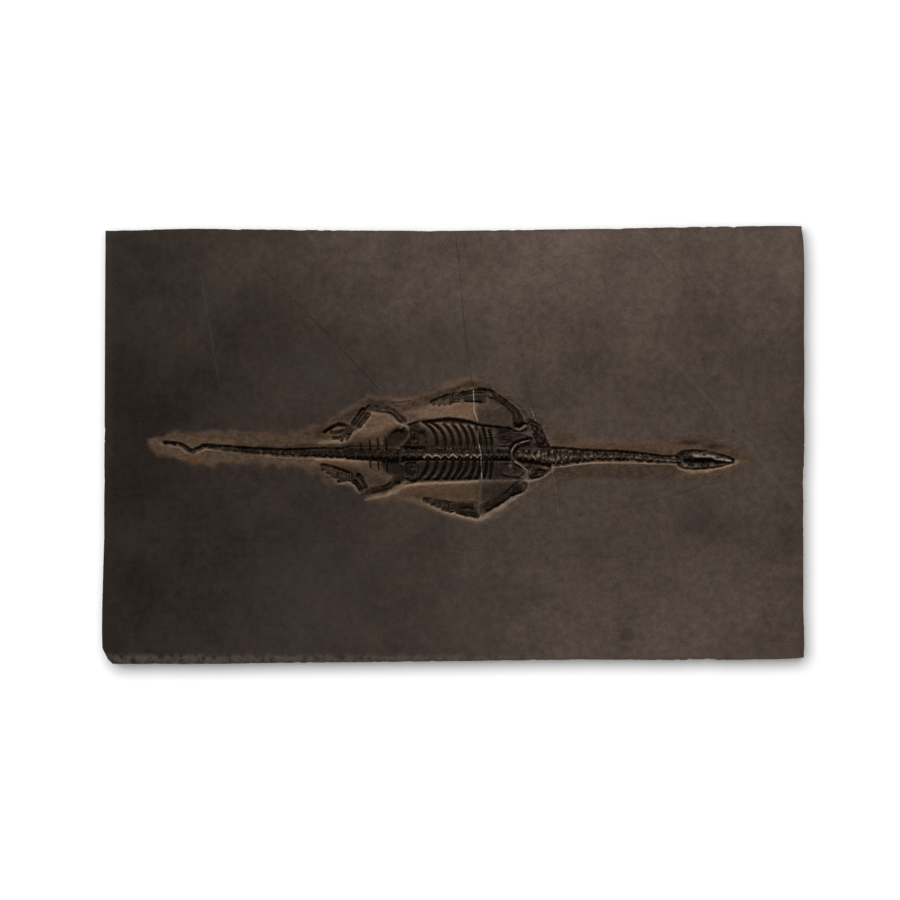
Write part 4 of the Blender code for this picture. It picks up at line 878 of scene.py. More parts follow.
def extremity_body(name):
    """A hand or a foot: a cluster of small wrist or ankle bones, and five digits."""
    (x, y, half_length, half_width), lines = EXTREMITIES[name]
    shells = []
    for row, (along, count) in enumerate(((0.55, 3), (-0.45, 4))):
        for place in np.linspace(-0.72, 0.72, count):
            small_bone = pebble(x + along * half_length * (1 - 0.3 * place ** 2), y + place * half_width,
                                0.46 * half_length, half_width / count * 0.92, WRIST_HEIGHT)
            shells.append(shell(roughened(small_bone, 0.1, 0.7, row), 0.28))
    for line in lines:
        shells += digit_shells(line)
    return joined(shells)


def plate_body(name):
    """A flat bone from rings that grow from its middle, or from the rim of its hole, to its outline.

    Its top is a shallow saucer with a raised lip, and it is rounded over at the edge. It is pale on the lip and in
    patches, and marked by crumbs on the shoulder blades or fine stripes on the others.
    """
    outline, thickness = PLATES[name]
    middle = np.mean(outline, axis=0)
    closed = [outline[-1], *outline, outline[0], outline[1]]
    sides = 72
    loop = smooth_line(closed, np.linspace(0.0, 1.0, 400))
    gap = np.linalg.norm(loop - np.array(outline[0], float), axis=1)
    first, last = np.argmin(gap[:200]), 200 + np.argmin(gap[200:])
    rim = loop[first + ((last - first) * np.arange(sides) / sides).astype(int)]
    shares = np.array([0.15, 0.3, 0.45, 0.6, 0.72, 0.82, 0.9, 0.95, 0.985, 1.0, 0.99])
    heights = 0.72 + 0.28 * bump(shares, 0.84, 0.16) - 0.16 * (shares > 0.94) - 0.25 * (shares > 0.98)
    heights[-1] = 0.0
    inner = np.broadcast_to(middle, rim.shape)
    if name in HIP_OPENINGS:
        x, y, radius = HIP_OPENINGS[name]
        turn = np.arctan2(*(rim - (x, y)).T[::-1])
        inner = np.column_stack([x + radius * np.cos(turn), y + radius * np.sin(turn)])
        shares = np.concatenate([[0.0, 0.0, 0.04], shares])
        heights = np.concatenate([[0.1, 0.6, 0.8], heights])
    plan = inner + shares[:, None, None] * (rim - inner)
    z = BONE_LEVEL + thickness * heights[:, None] * np.ones(sides)
    z += 0.3 * lattice_noise(plan[..., 0], plan[..., 1], 2.2, 61) * (heights[:, None] > 0.2)
    crust = patches(plan, 3.0, 67)
    lip = bump(shares, 0.93, 0.08)[:, None] * smooth_step(crust, 0.35, 0.75)
    lip *= 0.22 if name in HIP_OPENINGS else 0.15
    striped = smooth_step(lattice_noise(0.2 * plan[..., 0], plan[..., 1], 0.8, 139), 0.1, 0.6)
    crumbs = smooth_step(lattice_noise(plan[..., 0], plan[..., 1], 1.1, 137), 0.4, 0.65)
    blade = "scapula" in name
    marks = 0.55 * crumbs if blade else 0.25 * striped
    patched = (0.3 if blade else 0.15) * smooth_step(crust, 0.66, 0.78)
    return shell(np.dstack([plan, z]), lip + marks + patched)


def clavicle_body():
    """The collar bones' arch: a swept round bone, fattest at the middle of the U, thin at its two horns."""
    t = np.linspace(0.0, 1.0, 70)
    line = smooth_line(CLAVICLE_LINE, t)
    width = CLAVICLE_RADIUS * (0.45 + 0.27 * bump(t, 0.4, 0.16)) * end_rounding(t, 0.05)
    rings = roughened(swept(line, width, width, BONE_LEVEL + CLAVICLE_LIFT, 16), 0.22, 1.0, 31)
    pale = 0.48 - 0.45 * smooth_step(t, 0.4, 0.7)[:, None] + 0.6 * (patches(rings, 2.5, 37) - 0.4)
    return shell(rings, np.clip(pale, 0.0, 1.0))


def smooth_profile(x, places, values):
    """Values read at x from a Catmull-Rom curve through (place, value) points."""
    curve = smooth_line(np.column_stack([places, values]), np.linspace(0.0, 1.0, 200))
    return np.interp(x, curve[:, 0], curve[:, 1])


def skull_body():
    """The skull: a long wedge whose crest lies left of its middle.

    Across each section the height falls evenly from the crest to the left edge, and on the right drops by a smooth
    step to a low shelf. Hollows are sunk in by two-way bells. Beside its hinge lie small splinters of the jaw.
    """
    sections = np.array(SKULL)
    stations, sides = 72, 56
    t = np.linspace(0.0, 1.0, stations)
    x = sections[0, 0] + (sections[-1, 0] - sections[0, 0]) * t
    y, half_width, half_height = (smooth_profile(x, sections[:, 0], sections[:, column]) for column in (1, 2, 3))
    ends = end_rounding(t, 0.03)
    rings = swept(np.column_stack([x, y]), half_width * ends, half_height * ends, BONE_LEVEL, sides)
    angle = ring_angles(sides)
    upper = np.sin(angle)[None] > 0
    crest = np.interp(x, *zip(*SKULL_CREST))[:, None]
    places = rings[..., 1]
    left_edge, right_edge = (y + half_width * ends)[:, None], (y - half_width * ends)[:, None]
    leftward = np.clip((places - crest) / np.maximum(left_edge - crest, 0.2), 0.0, 1.0)
    rightward = np.clip((crest - places) / np.maximum(crest - right_edge, 0.2), 0.0, 1.0)
    profile = np.where(places > crest, 1 - 0.55 * leftward ** 1.3,
                       1 - 0.72 * smooth_step(rightward, 0.02, 0.4) + 0.1 * smooth_step(rightward, 0.6, 0.9))
    edge = np.sqrt(np.clip(1 - np.abs(np.cos(angle)) ** 10, 0.0, 1.0))[None]
    top = 2 * (half_height * ends)[:, None] * profile * edge
    hollowed = np.zeros(top.shape)
    for hollow_x, hollow_y, half_length, half_breadth, depth in SKULL_HOLLOWS:
        hollow = bump(rings[..., 0], hollow_x, half_length) * bump(places, hollow_y, half_breadth)
        top, hollowed = top - depth * hollow, np.maximum(hollowed, hollow)
    rings[..., 2] = np.where(upper, BONE_LEVEL + np.maximum(top, 0.05), BONE_LEVEL)
    grain = lattice_noise(rings[..., 0], rings[..., 1], 1.4, 47)
    rings[..., 2] += 0.07 * grain * upper
    worn = patches(rings, 3.0, 53)
    # The slope on the light's side of the crest is painted pale: bone colour and painted highlight
    ridge = smooth_step(places - crest, -0.25, 0.1) * (1 - 0.8 * smooth_step(leftward, 0.25, 0.9))
    pale = ridge * (0.45 + 0.55 * worn) * smooth_step(x, 116.5, 119.5)[:, None]
    shelf = 0.6 * smooth_step(rightward, 0.42, 0.6) * (1 - smooth_step(rightward, 0.85, 0.97))
    pale = np.maximum(pale, shelf * (0.4 + 0.6 * worn)) + 0.18 * grain
    shells = [shell(rings, np.clip(pale - 0.9 * hollowed, 0.0, 1.0) * upper)]
    for number, (jaw_x, jaw_y) in enumerate(JAW_SPLINTERS):
        shells.append(shell(roughened(pebble(jaw_x, jaw_y, 0.45, 1.0, 0.55), 0.06, 0.6, number), 0.25))
    return joined(shells)


def node(tree, kind, inputs=None, **settings):
    """Add a shader node; each input is linked if it is a socket and set if it is a value."""
    made = tree.nodes.new("ShaderNode" + kind)
    for word, value in settings.items():
        setattr(made, word, value)
    for socket, value in (inputs or {}).items():
        if isinstance(value, bpy.types.NodeSocket):
            tree.links.new(value, made.inputs[socket])
        else:
            made.inputs[socket].default_value = value
    return made


def calculate(tree, operation, *values):
    """One sum done on the first two values, then on its result and the next, to the last."""
    found = values[0]
    for value in values[1:]:
        found = node(tree, "Math", {0: found, 1: value}, operation=operation).outputs[0]
    return found


def added(tree, *values):
    """The sum of several values."""
    return calculate(tree, "ADD", *values)


def product(tree, *values):
    """Several values multiplied."""
    return calculate(tree, "MULTIPLY", *values)


def vector(tree, operation, *values, output=0):
    """A vector operation; output 1 is its value where it gives a number."""
    return node(tree, "VectorMath", dict(enumerate(values)), operation=operation).outputs[output]


def scaled(tree, shade, amount):
    """A colour or a vector multiplied by an amount."""
    return node(tree, "VectorMath", {0: shade, "Scale": amount}, operation="SCALE").outputs[0]


def step(tree, value, low, high, start=0.0, end=1.0):
    """A smooth step of a value between low and high, put out from start to end."""
    limits = {"Value": value, "From Min": low, "From Max": high, "To Min": start, "To Max": end}
    return node(tree, "MapRange", limits, interpolation_type="SMOOTHSTEP").outputs[0]


def blend(tree, factor, first, second, way="MIX"):
    """Two colours mixed by a factor."""
    return node(tree, "Mix", {0: factor, 6: first, 7: second}, data_type="RGBA", blend_type=way).outputs[2]


def noise(tree, place, scale, detail=3.0, rough=0.55, distortion=0.0):
    """Cloud noise, 0 to 1."""
    values = {"Vector": place, "Scale": scale, "Detail": detail, "Roughness": rough, "Distortion": distortion}
    return node(tree, "TexNoise", values).outputs[0]


def stretched(tree, place, turn, shape):
    """The place in a frame that is turned in the slab's plane and has the shape as its units."""
    return node(tree, "Mapping", {"Vector": place, "Rotation": (0.0, 0.0, turn), "Scale": shape},
                vector_type="TEXTURE").outputs[0]


def streaks(tree, place, turn, length, scale, detail, rough):
    """Noise drawn out along a direction in the slab's plane."""
    return noise(tree, stretched(tree, place, turn, (length, 1.0, 1.0)), scale, detail, rough)


def new_group(name, inputs, outputs):
    """An empty node group with its named sockets; returns it with its input and output nodes."""
    tree = bpy.data.node_groups.new(name, "ShaderNodeTree")
    for direction, sockets in (("INPUT", inputs), ("OUTPUT", outputs)):
        for word, kind in sockets.items():
            tree.interface.new_socket(name=word, in_out=direction, socket_type="NodeSocket" + kind)
    return tree, tree.nodes.new("NodeGroupInput").outputs, tree.nodes.new("NodeGroupOutput")


def hairline_group():
    """A wavering line in the stone's plane from start to end: its mask is 1 on the line and 0 past its width."""
    tree, given, out = new_group("Hairline", {"Place": "Vector", "Start": "Vector", "End": "Vector",
                                              "Width": "Float", "Waver": "Float", "Breaks": "Float"},
                                 {"Mask": "Float"})
    drift = node(tree, "TexNoise", {"Vector": given["Place"], "Scale": 90.0, "Detail": 4.0}).outputs[1]
    drift = scaled(tree, vector(tree, "SUBTRACT", drift, (0.5, 0.5, 0.5)), given["Waver"])
    flat = vector(tree, "MULTIPLY", vector(tree, "ADD", given["Place"], drift), (1.0, 1.0, 0.0))
    toward = vector(tree, "SUBTRACT", given["End"], given["Start"])
    offset = vector(tree, "SUBTRACT", flat, given["Start"])
    share = calculate(tree, "DIVIDE", vector(tree, "DOT_PRODUCT", offset, toward, output=1),
                      vector(tree, "DOT_PRODUCT", toward, toward, output=1))
    share = calculate(tree, "MINIMUM", calculate(tree, "MAXIMUM", share, 0.0), 1.0)
    away = vector(tree, "DISTANCE", offset, scaled(tree, toward, share), output=1)
    line = step(tree, calculate(tree, "DIVIDE", away, given["Width"]), 0.3, 1.0, 1.0, 0.0)
    broken = step(tree, noise(tree, given["Place"], 420.0, 3.0), 0.36, 0.56,
                  calculate(tree, "SUBTRACT", 1.0, given["Breaks"]))
    tree.links.new(product(tree, line, broken), out.inputs["Mask"])
    return tree


def mineral_group():
    """Mineralised grain: a slow tone, scattered crystal flecks and a fine granular height."""
    tree, given, out = new_group("Mineral grain", {"Place": "Vector", "Scale": "Float", "Flecks": "Float"},
                                 {"Tone": "Float", "Fleck": "Float", "Height": "Float"})
    place = scaled(tree, given["Place"], given["Scale"])
    tone = step(tree, noise(tree, place, 260.0, 4.0, 0.6), 0.3, 0.7)
    grain = noise(tree, place, 1300.0, 3.0, 0.6)
    cells = node(tree, "TexVoronoi", {"Vector": place, "Scale": 1100.0}).outputs["Distance"]
    scatter = step(tree, noise(tree, place, 420.0, 2.0), 0.5, 0.66)
    fleck = product(tree, scatter, step(tree, grain, 0.5, 0.64), given["Flecks"])
    height = added(tree, product(tree, grain, 0.7), product(tree, cells, 0.5))
    for word, value in (("Tone", tone), ("Fleck", fleck), ("Height", height)):
        tree.links.new(value, out.inputs[word])
    return tree


def shared_group(name, maker):
    """The node group of that name, made when it is first asked for."""
    return bpy.data.node_groups.get(name) or maker()


def lines_mask(tree, place, lines, waver, breaks):
    """The strongest of several hairlines at each place; breaks is how far they fade in their gaps."""
    masks = []
    for (start_x, start_y), (end_x, end_y), width, strength in lines:
        hairline = node(tree, "Group", {"Place": place, "Start": (start_x * MM, start_y * MM, 0.0),
                                        "End": (end_x * MM, end_y * MM, 0.0), "Width": width * MM,
                                        "Waver": waver * MM, "Breaks": breaks},
                        node_tree=shared_group("Hairline", hairline_group))
        masks.append(product(tree, hairline.outputs["Mask"], strength))
    return calculate(tree, "MAXIMUM", *masks)


def new_material(name, specular=0.07):
    """A material with its object coordinates and its shader."""
    material = bpy.data.materials.new(name)
    material.use_nodes = True
    tree = material.node_tree
    shader = tree.nodes["Principled BSDF"]
    shader.inputs["Specular IOR Level"].default_value = specular
    return material, tree, node(tree, "TexCoord").outputs["Object"], shader


def mask(tree, word):
    """A mask that the mesh carries."""
    return node(tree, "Attribute", attribute_name=word).outputs["Fac"]


def colour(rgb):
    """A colour with full alpha."""
    return (*rgb, 1.0)


def blots_mask(tree, place, blots):
    """Soft round blots as (x, y, reach, strength), their edges broken by noise; the strongest at each place."""
    drift = calculate(tree, "SUBTRACT", noise(tree, place, 60.0, 5.0, 0.65), 0.5)
    flat = vector(tree, "MULTIPLY", place, (1.0, 1.0, 0.0))
    masks = []
    for x, y, reach, strength in blots:
        away = vector(tree, "DISTANCE", flat, (x * MM, y * MM, 0.0), output=1)
        away = added(tree, calculate(tree, "DIVIDE", away, reach * MM), product(tree, drift, 1.6))
        masks.append(step(tree, away, 0.3, 1.0, strength, 0.0))
    return calculate(tree, "MAXIMUM", *masks)


def coated(tree, surface, coats):
    """A surface with plain coats laid over it in order, each as (how much of it, its colour)."""
    for cover, shade in coats:
        surface = blend(tree, cover, surface, colour(shade))
    return surface


def stone_material(settings):
    """Dark mudstone: clouded on its face, brown where worked, rubbed pale on ridges and, as a painted highlight, on
    rims facing the light; dirt and painted shade in hollows.

    The face is clouds, grit and two ways of scratches. It grows lighter to the right, to the two long edges and in
    the two corners at -Y: partly the stone's own tone and partly a painted fall-off of light. Right of the vein the
    worked ground is duller. The left edge is stained dark, the edge at -Y is dusty, and the broken sides show
    layers.
    """
    material, tree, place, shader = new_material("Dark slab stone")
    tan, sunk, bright, rubbed_and_highlit, painted_shade, dull, side = (
        mask(tree, word) for word in ("tan", "sunk", "bright", "rubbed_and_highlit", "painted_shade", "dull", "side"))
    east, north, _ = node(tree, "SeparateXYZ", {0: place}).outputs
    mottle = noise(tree, place, 22.0, 6.0, 0.62, 0.3)
    cloud = noise(tree, place, 75.0, 5.0, 0.65)
    dust = noise(tree, place, 260.0, 4.0, 0.65)
    grain = noise(tree, place, 900.0, 3.0, 0.6)
    grit = noise(tree, place, 1100.0, 3.0, 0.75)

    face = blend(tree, step(tree, mottle, 0.34, 0.66), colour(settings.face_dark), colour(settings.face_light))
    face = coated(tree, face, [(step(tree, cloud, 0.42, 0.75, 0.0, 0.5), settings.face_warm)])
    face = scaled(tree, face, step(tree, added(tree, grit, dust), 0.75, 1.25, 0.8, 1.2))
    scratches = calculate(tree, "MAXIMUM", *(
        step(tree, streaks(tree, place, turn, 28.0, 420.0, 2.0, 0.5), 0.64, 0.72) for turn in (0.75, -0.9)))
    face = scaled(tree, face, added(tree, product(tree, scratches, 0.09), 1.0))
    # Painted fall-off of light, with some of the stone's own tone: lighter to the right, to the long edges and in
    # the corners at -Y
    drifting = added(tree, east, product(tree, mottle, 0.04))
    from_middle = node(tree, "Math", {0: north}, operation="ABSOLUTE").outputs[0]
    outward = added(tree, from_middle, product(tree, cloud, 0.02))
    level = product(tree, step(tree, drifting, -0.17, 0.1, 0.38, 1.7),
                    step(tree, outward, 0.05, 0.105, 0.75, 1.04),
                    step(tree, added(tree, east, north), -0.25, -0.12, 1.3, 1.0),
                    step(tree, calculate(tree, "SUBTRACT", east, north), 0.1, 0.25, 1.0, 1.1))
    face = coated(tree, scaled(tree, face, level), [(blots_mask(tree, place, BLOTS), settings.blot)])

    ground = blend(tree, step(tree, dust, 0.3, 0.7), colour(settings.ground_dark), colour(settings.ground_light))
    rusty = step(tree, noise(tree, place, 42.0, 4.0, 0.6), 0.5, 0.62)
    leftward = step(tree, east, 0.0125, -0.02, 0.15, 0.75)
    ground = coated(tree, ground, [(product(tree, rusty, leftward), settings.rusty)])
    sweeps = added(tree, streaks(tree, place, 0.15, 3.0, 110.0, 3.0, 0.5), product(tree, tan, 0.6))
    surface = blend(tree, product(tree, tan, step(tree, sweeps, 0.4, 0.9)), face, ground)
    # Worn bright ground, with a painted highlight on the left rib humps, and rubbed pale rims, with a painted
    # highlight where they face the light
    surface = coated(tree, surface, [
        (product(tree, bright, step(tree, cloud, 0.25, 0.6, 0.7, 1.0)), settings.bright),
        (product(tree, rubbed_and_highlit, step(tree, dust, 0.2, 0.6, 0.65, 1.0)), settings.rubbed_and_highlit)])
    past_vein = step(tree, added(tree, east, product(tree, cloud, 0.002)), 0.0125, 0.0145, 0.0, 0.6)
    duller = product(tree, tan, past_vein, step(tree, east, 0.04, 0.065, 1.0, 0.0))
    surface = blend(tree, duller, surface, scaled(tree, face, added(tree, rubbed_and_highlit, 0.9)))
    surface = scaled(tree, surface, calculate(tree, "SUBTRACT", 1.0, dull))
    fibres = added(tree, streaks(tree, place, 0.15, 3.0, 1000.0, 3.0, 0.7), grit)
    gritty = step(tree, fibres, 0.72, 1.28, 0.72, 1.28)
    surface = scaled(tree, surface, node(tree, "Mix", {0: tan, 2: 1.0, 3: gritty}).outputs[0])

    # Dirt and painted shade, darker the deeper the floor lies
    floor_dirt_and_shade = product(tree, sunk, step(tree, dust, 0.3, 0.65, 0.5, 0.95))
    cracks = lines_mask(tree, place, CRACKS, 1.1, 0.8)
    specks = step(tree, noise(tree, place, 700.0, 2.0, 0.5), 0.74, 0.8)
    pits = step(tree, noise(tree, place, 330.0, 2.0, 0.5), 0.27, 0.23)
    left_end = step(tree, added(tree, east, product(tree, dust, 0.008)), -0.171, -0.166, 0.8, 0.0)
    lower_edge = product(tree, step(tree, north, -0.1035, -0.1065), step(tree, dust, 0.35, 0.6))
    # The first coat is dirt and painted shade in the hollows, with painted shadow along the shadow lines
    surface = coated(tree, surface, [
        (calculate(tree, "MAXIMUM", floor_dirt_and_shade, product(tree, painted_shade, 0.88)), settings.hollow),
        (product(tree, cracks, 0.7), settings.stain),
        (product(tree, specks, 0.5), settings.ground_light),
        (product(tree, pits, 0.5), settings.stain),
        (lines_mask(tree, place, SEAMS, 1.6, 0.35), settings.seam),
        (lines_mask(tree, place, VEINS, 0.8, 0.9), settings.calcite),
        (left_end, settings.stain),
        (product(tree, lower_edge, 0.75), settings.seam)])

    layers = noise(tree, stretched(tree, place, 0.0, (8.0, 8.0, 1.0)), 500.0, 4.0, 0.6)
    broken = blend(tree, step(tree, layers, 0.35, 0.65), colour(settings.face_dark), colour(settings.face_light))
    tree.links.new(blend(tree, side, surface, broken), shader.inputs["Base Color"])
    tree.links.new(step(tree, dust, 0.3, 0.7, settings.roughness - 0.08, settings.roughness + 0.08),
                   shader.inputs["Roughness"])

    scraped = streaks(tree, place, 1.0, 5.0, 420.0, 3.0, 0.6)
    brushed = streaks(tree, place, 0.6, 3.5, 200.0, 4.0, 0.6)
    carved = product(tree, added(tree, scraped, dust), product(tree, tan, 0.9))
    height = added(tree, product(tree, grain, 0.35), added(tree, carved, product(tree, brushed, 0.12)))
    height = calculate(tree, "SUBTRACT", height, product(tree, cracks, 0.8))
    height = added(tree, height, product(tree, layers, side, added(tree, side, 2.0)))
    relief = node(tree, "Bump", {"Height": height, "Distance": 0.16 * MM, "Strength": settings.relief})
    tree.links.new(relief.outputs[0], shader.inputs["Normal"])
    return material


def bone_material(name, settings, dark, brown, flecks, roughness):
    """Mineralised bone: near-black and brown grain, calcite where the paleness says and in scattered flecks."""
    material, tree, place, shader = new_material(name, 0.03)
    grain = node(tree, "Group", {"Place": place, "Scale": 1.0, "Flecks": flecks},
                 node_tree=shared_group("Mineral grain", mineral_group)).outputs
    pale = mask(tree, "pale")
    base = blend(tree, grain["Tone"], colour(dark), colour(brown))
    tint = step(tree, noise(tree, place, 75.0, 2.0), 0.4, 0.62)
    remains = product(tree, step(tree, noise(tree, place, 520.0, 4.0, 0.6), 0.5, 0.6),
                      step(tree, noise(tree, place, 110.0, 2.0), 0.35, 0.6, 0.35, 1.0),
                      step(tree, pale, -0.3, 0.0, 0.1, 0.5))
    worn = product(tree, pale, step(tree, noise(tree, place, 620.0, 3.0), 0.3, 0.6, 0.45, 1.0))
    crust = added(tree, step(tree, worn, 0.2, 0.9), grain["Fleck"])
    base = coated(tree, base, [
        (product(tree, tint, 0.4), settings.tint),
        (remains, settings.remains),
        (step(tree, worn, 0.0, 0.4), settings.rubbed_and_highlit),
        (calculate(tree, "MINIMUM", crust, 1.0), settings.crust),
        (lines_mask(tree, place, VEINS[:VEINS_OVER_BONES], 0.8, 0.9), settings.calcite)])
    tree.links.new(base, shader.inputs["Base Color"])
    tree.links.new(step(tree, grain["Tone"], 0.0, 1.0, roughness - 0.1, roughness + 0.12),
                   shader.inputs["Roughness"])
    relief = node(tree, "Bump", {"Height": grain["Height"], "Distance": 0.4 * MM, "Strength": settings.relief})
    tree.links.new(relief.outputs[0], shader.inputs["Normal"])
    return material


def bone_finish(scene, word):
    """The dark, the pale or the flat bones' material, made when it is first asked for."""
    settings = scene.fossil_bone
    choices = {
        "Dark fossil bone": (settings.dark, settings.brown, 0.12, settings.roughness),
        "Pale fossil bone": (settings.tint, settings.worn, 0.4, settings.roughness + 0.12),
        "Flat fossil bone": (settings.brown, settings.purple, 0.06, settings.roughness + 0.08),
    }
    return bpy.data.materials.get(word) or bone_material(word, settings, *choices[word])


def tint_property(name, description, default):
    """A colour setting."""
    return FloatVectorProperty(name=name, description=description, default=default, size=3, min=0.0, max=1.0,
                               subtype="COLOR")


class FossilStoneSettings(bpy.types.PropertyGroup):
    face_dark: tint_property("Face, dark", "Dark mottles of the slab's face", (0.044, 0.0325, 0.0275))
    face_light: tint_property("Face, light", "Light mottles of the slab's face", (0.062, 0.047, 0.0395))
    face_warm: tint_property("Face, warm", "Brown clouds on the slab's face", (0.07, 0.049, 0.038))
    stain: tint_property("Stain", "The stained left edge, pits and cracks", (0.018, 0.017, 0.014))
    ground_dark: tint_property("Ground, dark", "Abraded ground round the bones", (0.06, 0.0395, 0.0265))
    ground_light: tint_property("Ground, light", "Lightest abraded ground", (0.092, 0.061, 0.041))
    rusty: tint_property("Rusty", "Rusty clouds of the abraded ground", (0.088, 0.048, 0.026))
    # Also laid as a painted highlight on the left rib humps
    bright: tint_property("Bright", "Ground worn bright", (0.136, 0.083, 0.053))
    # Also laid as a painted highlight on the rims that face the light
    rubbed_and_highlit: tint_property("Rubbed", "Pale rubbed edges of the ground", (0.215, 0.148, 0.1))
    # Colour of dirt and painted shade in the hollows, and of painted shadow along the shadow lines
    hollow: tint_property("Hollow", "Dirt on the floor of the hollow", (0.0135, 0.0088, 0.0055))
    blot: tint_property("Blot", "Soft dark blots", (0.036, 0.0292, 0.0265))
    seam: tint_property("Seam", "Dull light seams", (0.105, 0.088, 0.075))
    calcite: tint_property("Calcite", "White veins", (0.42, 0.38, 0.33))
    roughness: FloatProperty(name="Roughness", description="Roughness of the stone", default=0.72, min=0.1,
                             max=1.0)
    relief: FloatProperty(name="Relief", description="Strength of the stone's fine relief", default=0.7, min=0.0,
                          max=1.0)


class FossilBoneSettings(bpy.types.PropertyGroup):
    dark: tint_property("Dark bone", "Darkest bone", (0.0055, 0.0038, 0.0026))
    brown: tint_property("Brown bone", "Lighter bone", (0.0135, 0.009, 0.0057))
    worn: tint_property("Worn bone", "Worn, pale bone", (0.1, 0.08, 0.063))
    tint: tint_property("Tinted bone", "Purple-grey tint of some bones", (0.014, 0.009, 0.0085))
    purple: tint_property("Purple bone", "Lighter grain of the flat bones", (0.036, 0.025, 0.022))
    remains: tint_property("Stone remains", "Stone left in patches on the bones", (0.05, 0.034, 0.0225))
    rubbed_and_highlit: tint_property("Rubbed bone", "Bone rubbed to a brown", (0.075, 0.052, 0.037))
    crust: tint_property("Crust", "Calcite crust on the bones", (0.31, 0.255, 0.205))
    calcite: tint_property("Calcite", "White veins over the bones", (0.42, 0.38, 0.33))
    roughness: FloatProperty(name="Roughness", description="Roughness of the bone", default=0.62, min=0.1, max=0.8)
    relief: FloatProperty(name="Relief", description="Strength of the bone's grain", default=0.8, min=0.0, max=1.0)


class FossilStageSettings(bpy.types.PropertyGroup):
    view_width: FloatProperty(name="View width", description="Width that the camera sees at the slab's face",
                              default=0.45, min=0.1, unit="LENGTH")
    camera_height: FloatProperty(name="Camera height", description="Height of the camera over the slab's face",
                                 default=6.0, min=0.5, unit="LENGTH")
    aim: FloatVectorProperty(name="Aim", description="Place below the camera", default=(-0.0015, -0.0025), size=2,
                             subtype="TRANSLATION", unit="LENGTH")
    key_power: FloatProperty(name="Key light", description="Power of the raking light", default=13.9, min=0.0,
                             unit="POWER")
    key_place: FloatVectorProperty(name="Key place", description="Place of the raking light",
                                   default=(-0.18, 0.83, 0.60), size=3, subtype="TRANSLATION", unit="LENGTH")
    key_size: FloatProperty(name="Key size", description="Width of the raking light", default=0.15, min=0.01,
                            unit="LENGTH")
    floor_power: FloatProperty(name="Floor light", description="Strength of the floor's own soft light",
                               default=4.85, min=0.0)
    fill: FloatProperty(name="Fill", description="Strength of the even light from all sides", default=0.15,
                        min=0.0)


class FossilOperator:
    """What the operators share"""
    bl_options = {"REGISTER", "UNDO"}


class FOSSIL_OT_stone_slab(FossilOperator, bpy.types.Operator):
    """Make the stone slab with its worked hollow"""
    bl_idname = "fossil.stone_slab"
    bl_label = "Stone slab"

    def execute(self, context):
        body, masks = stone_body()
        add_piece("stone_slab", body, stone_material(context.scene.fossil_stone), "matrix_slab", "slab_stone",
                  SIDE_SHARP_ANGLE, **masks)
        return {"FINISHED"}


class FOSSIL_OT_skull(FossilOperator, bpy.types.Operator):
    """Make the skull"""
    bl_idname = "fossil.skull"
    bl_label = "Skull"

    def execute(self, context):
        add_piece("fossil_skull", skull_body(), bone_finish(context.scene, "Dark fossil bone"), "skull",
                  "fossil_bone")
        return {"FINISHED"}


class FOSSIL_OT_spine(FossilOperator, bpy.types.Operator):
    """Make the neck, the back with its ribs, and the tail"""
    bl_idname = "fossil.spine"
    bl_label = "Spine and ribs"

    def execute(self, context):
        material = bone_finish(context.scene, "Dark fossil bone")
        for node_name, maker in (("neck_vertebrae", neck_body), ("back_vertebrae_and_ribs", trunk_body),
                                 ("tail_vertebrae", tail_body)):
            add_piece("fossil_" + node_name, maker(), material, node_name, "fossil_bone")
        return {"FINISHED"}


class FOSSIL_OT_girdles(FossilOperator, bpy.types.Operator):
    """Make the flat bones of the shoulder and hip, and the collar bones"""
    bl_idname = "fossil.girdles"
    bl_label = "Shoulder and hip"

    def execute(self, context):
        for name in PLATES:
            finish = "Flat fossil bone" if "coracoid" in name else "Dark fossil bone"
            add_piece("fossil_" + name, plate_body(name), bone_finish(context.scene, finish), name, "fossil_bone")
        add_piece("fossil_clavicle_arch", clavicle_body(), bone_finish(context.scene, "Pale fossil bone"),
                  "clavicle_arch", "pale_bone")
        return {"FINISHED"}


class FOSSIL_OT_limbs(FossilOperator, bpy.types.Operator):
    """Make the twelve long bones, the hands and the feet"""
    bl_idname = "fossil.limbs"
    bl_label = "Limbs"

    def execute(self, context):
        material = bone_finish(context.scene, "Dark fossil bone")
        for name in LIMB_BONES:
            add_piece("fossil_" + name, limb_body(name), material, name, "fossil_bone")
        for name in EXTREMITIES:
            add_piece("fossil_" + name, extremity_body(name), material, name, "fossil_bone")
        return {"FINISHED"}


def add_light(name, kind, place, aim, receivers, **settings):
    """A light at a place, aimed at a point, that lights only its receivers."""
    light = bpy.data.lights.new(name, kind)
    for word, value in settings.items():
        setattr(light, word, value)
    obj = bpy.data.objects.new(name, light)
    obj.location = place
    obj.rotation_euler = (Vector(aim) - Vector(place)).to_track_quat("-Z", "Y").to_euler()
    bpy.context.scene.collection.objects.link(obj)
    group = bpy.data.collections.new(name + " receivers")
    for receiver in receivers:
        group.objects.link(receiver)
    obj.light_linking.receiver_collection = group
    return obj


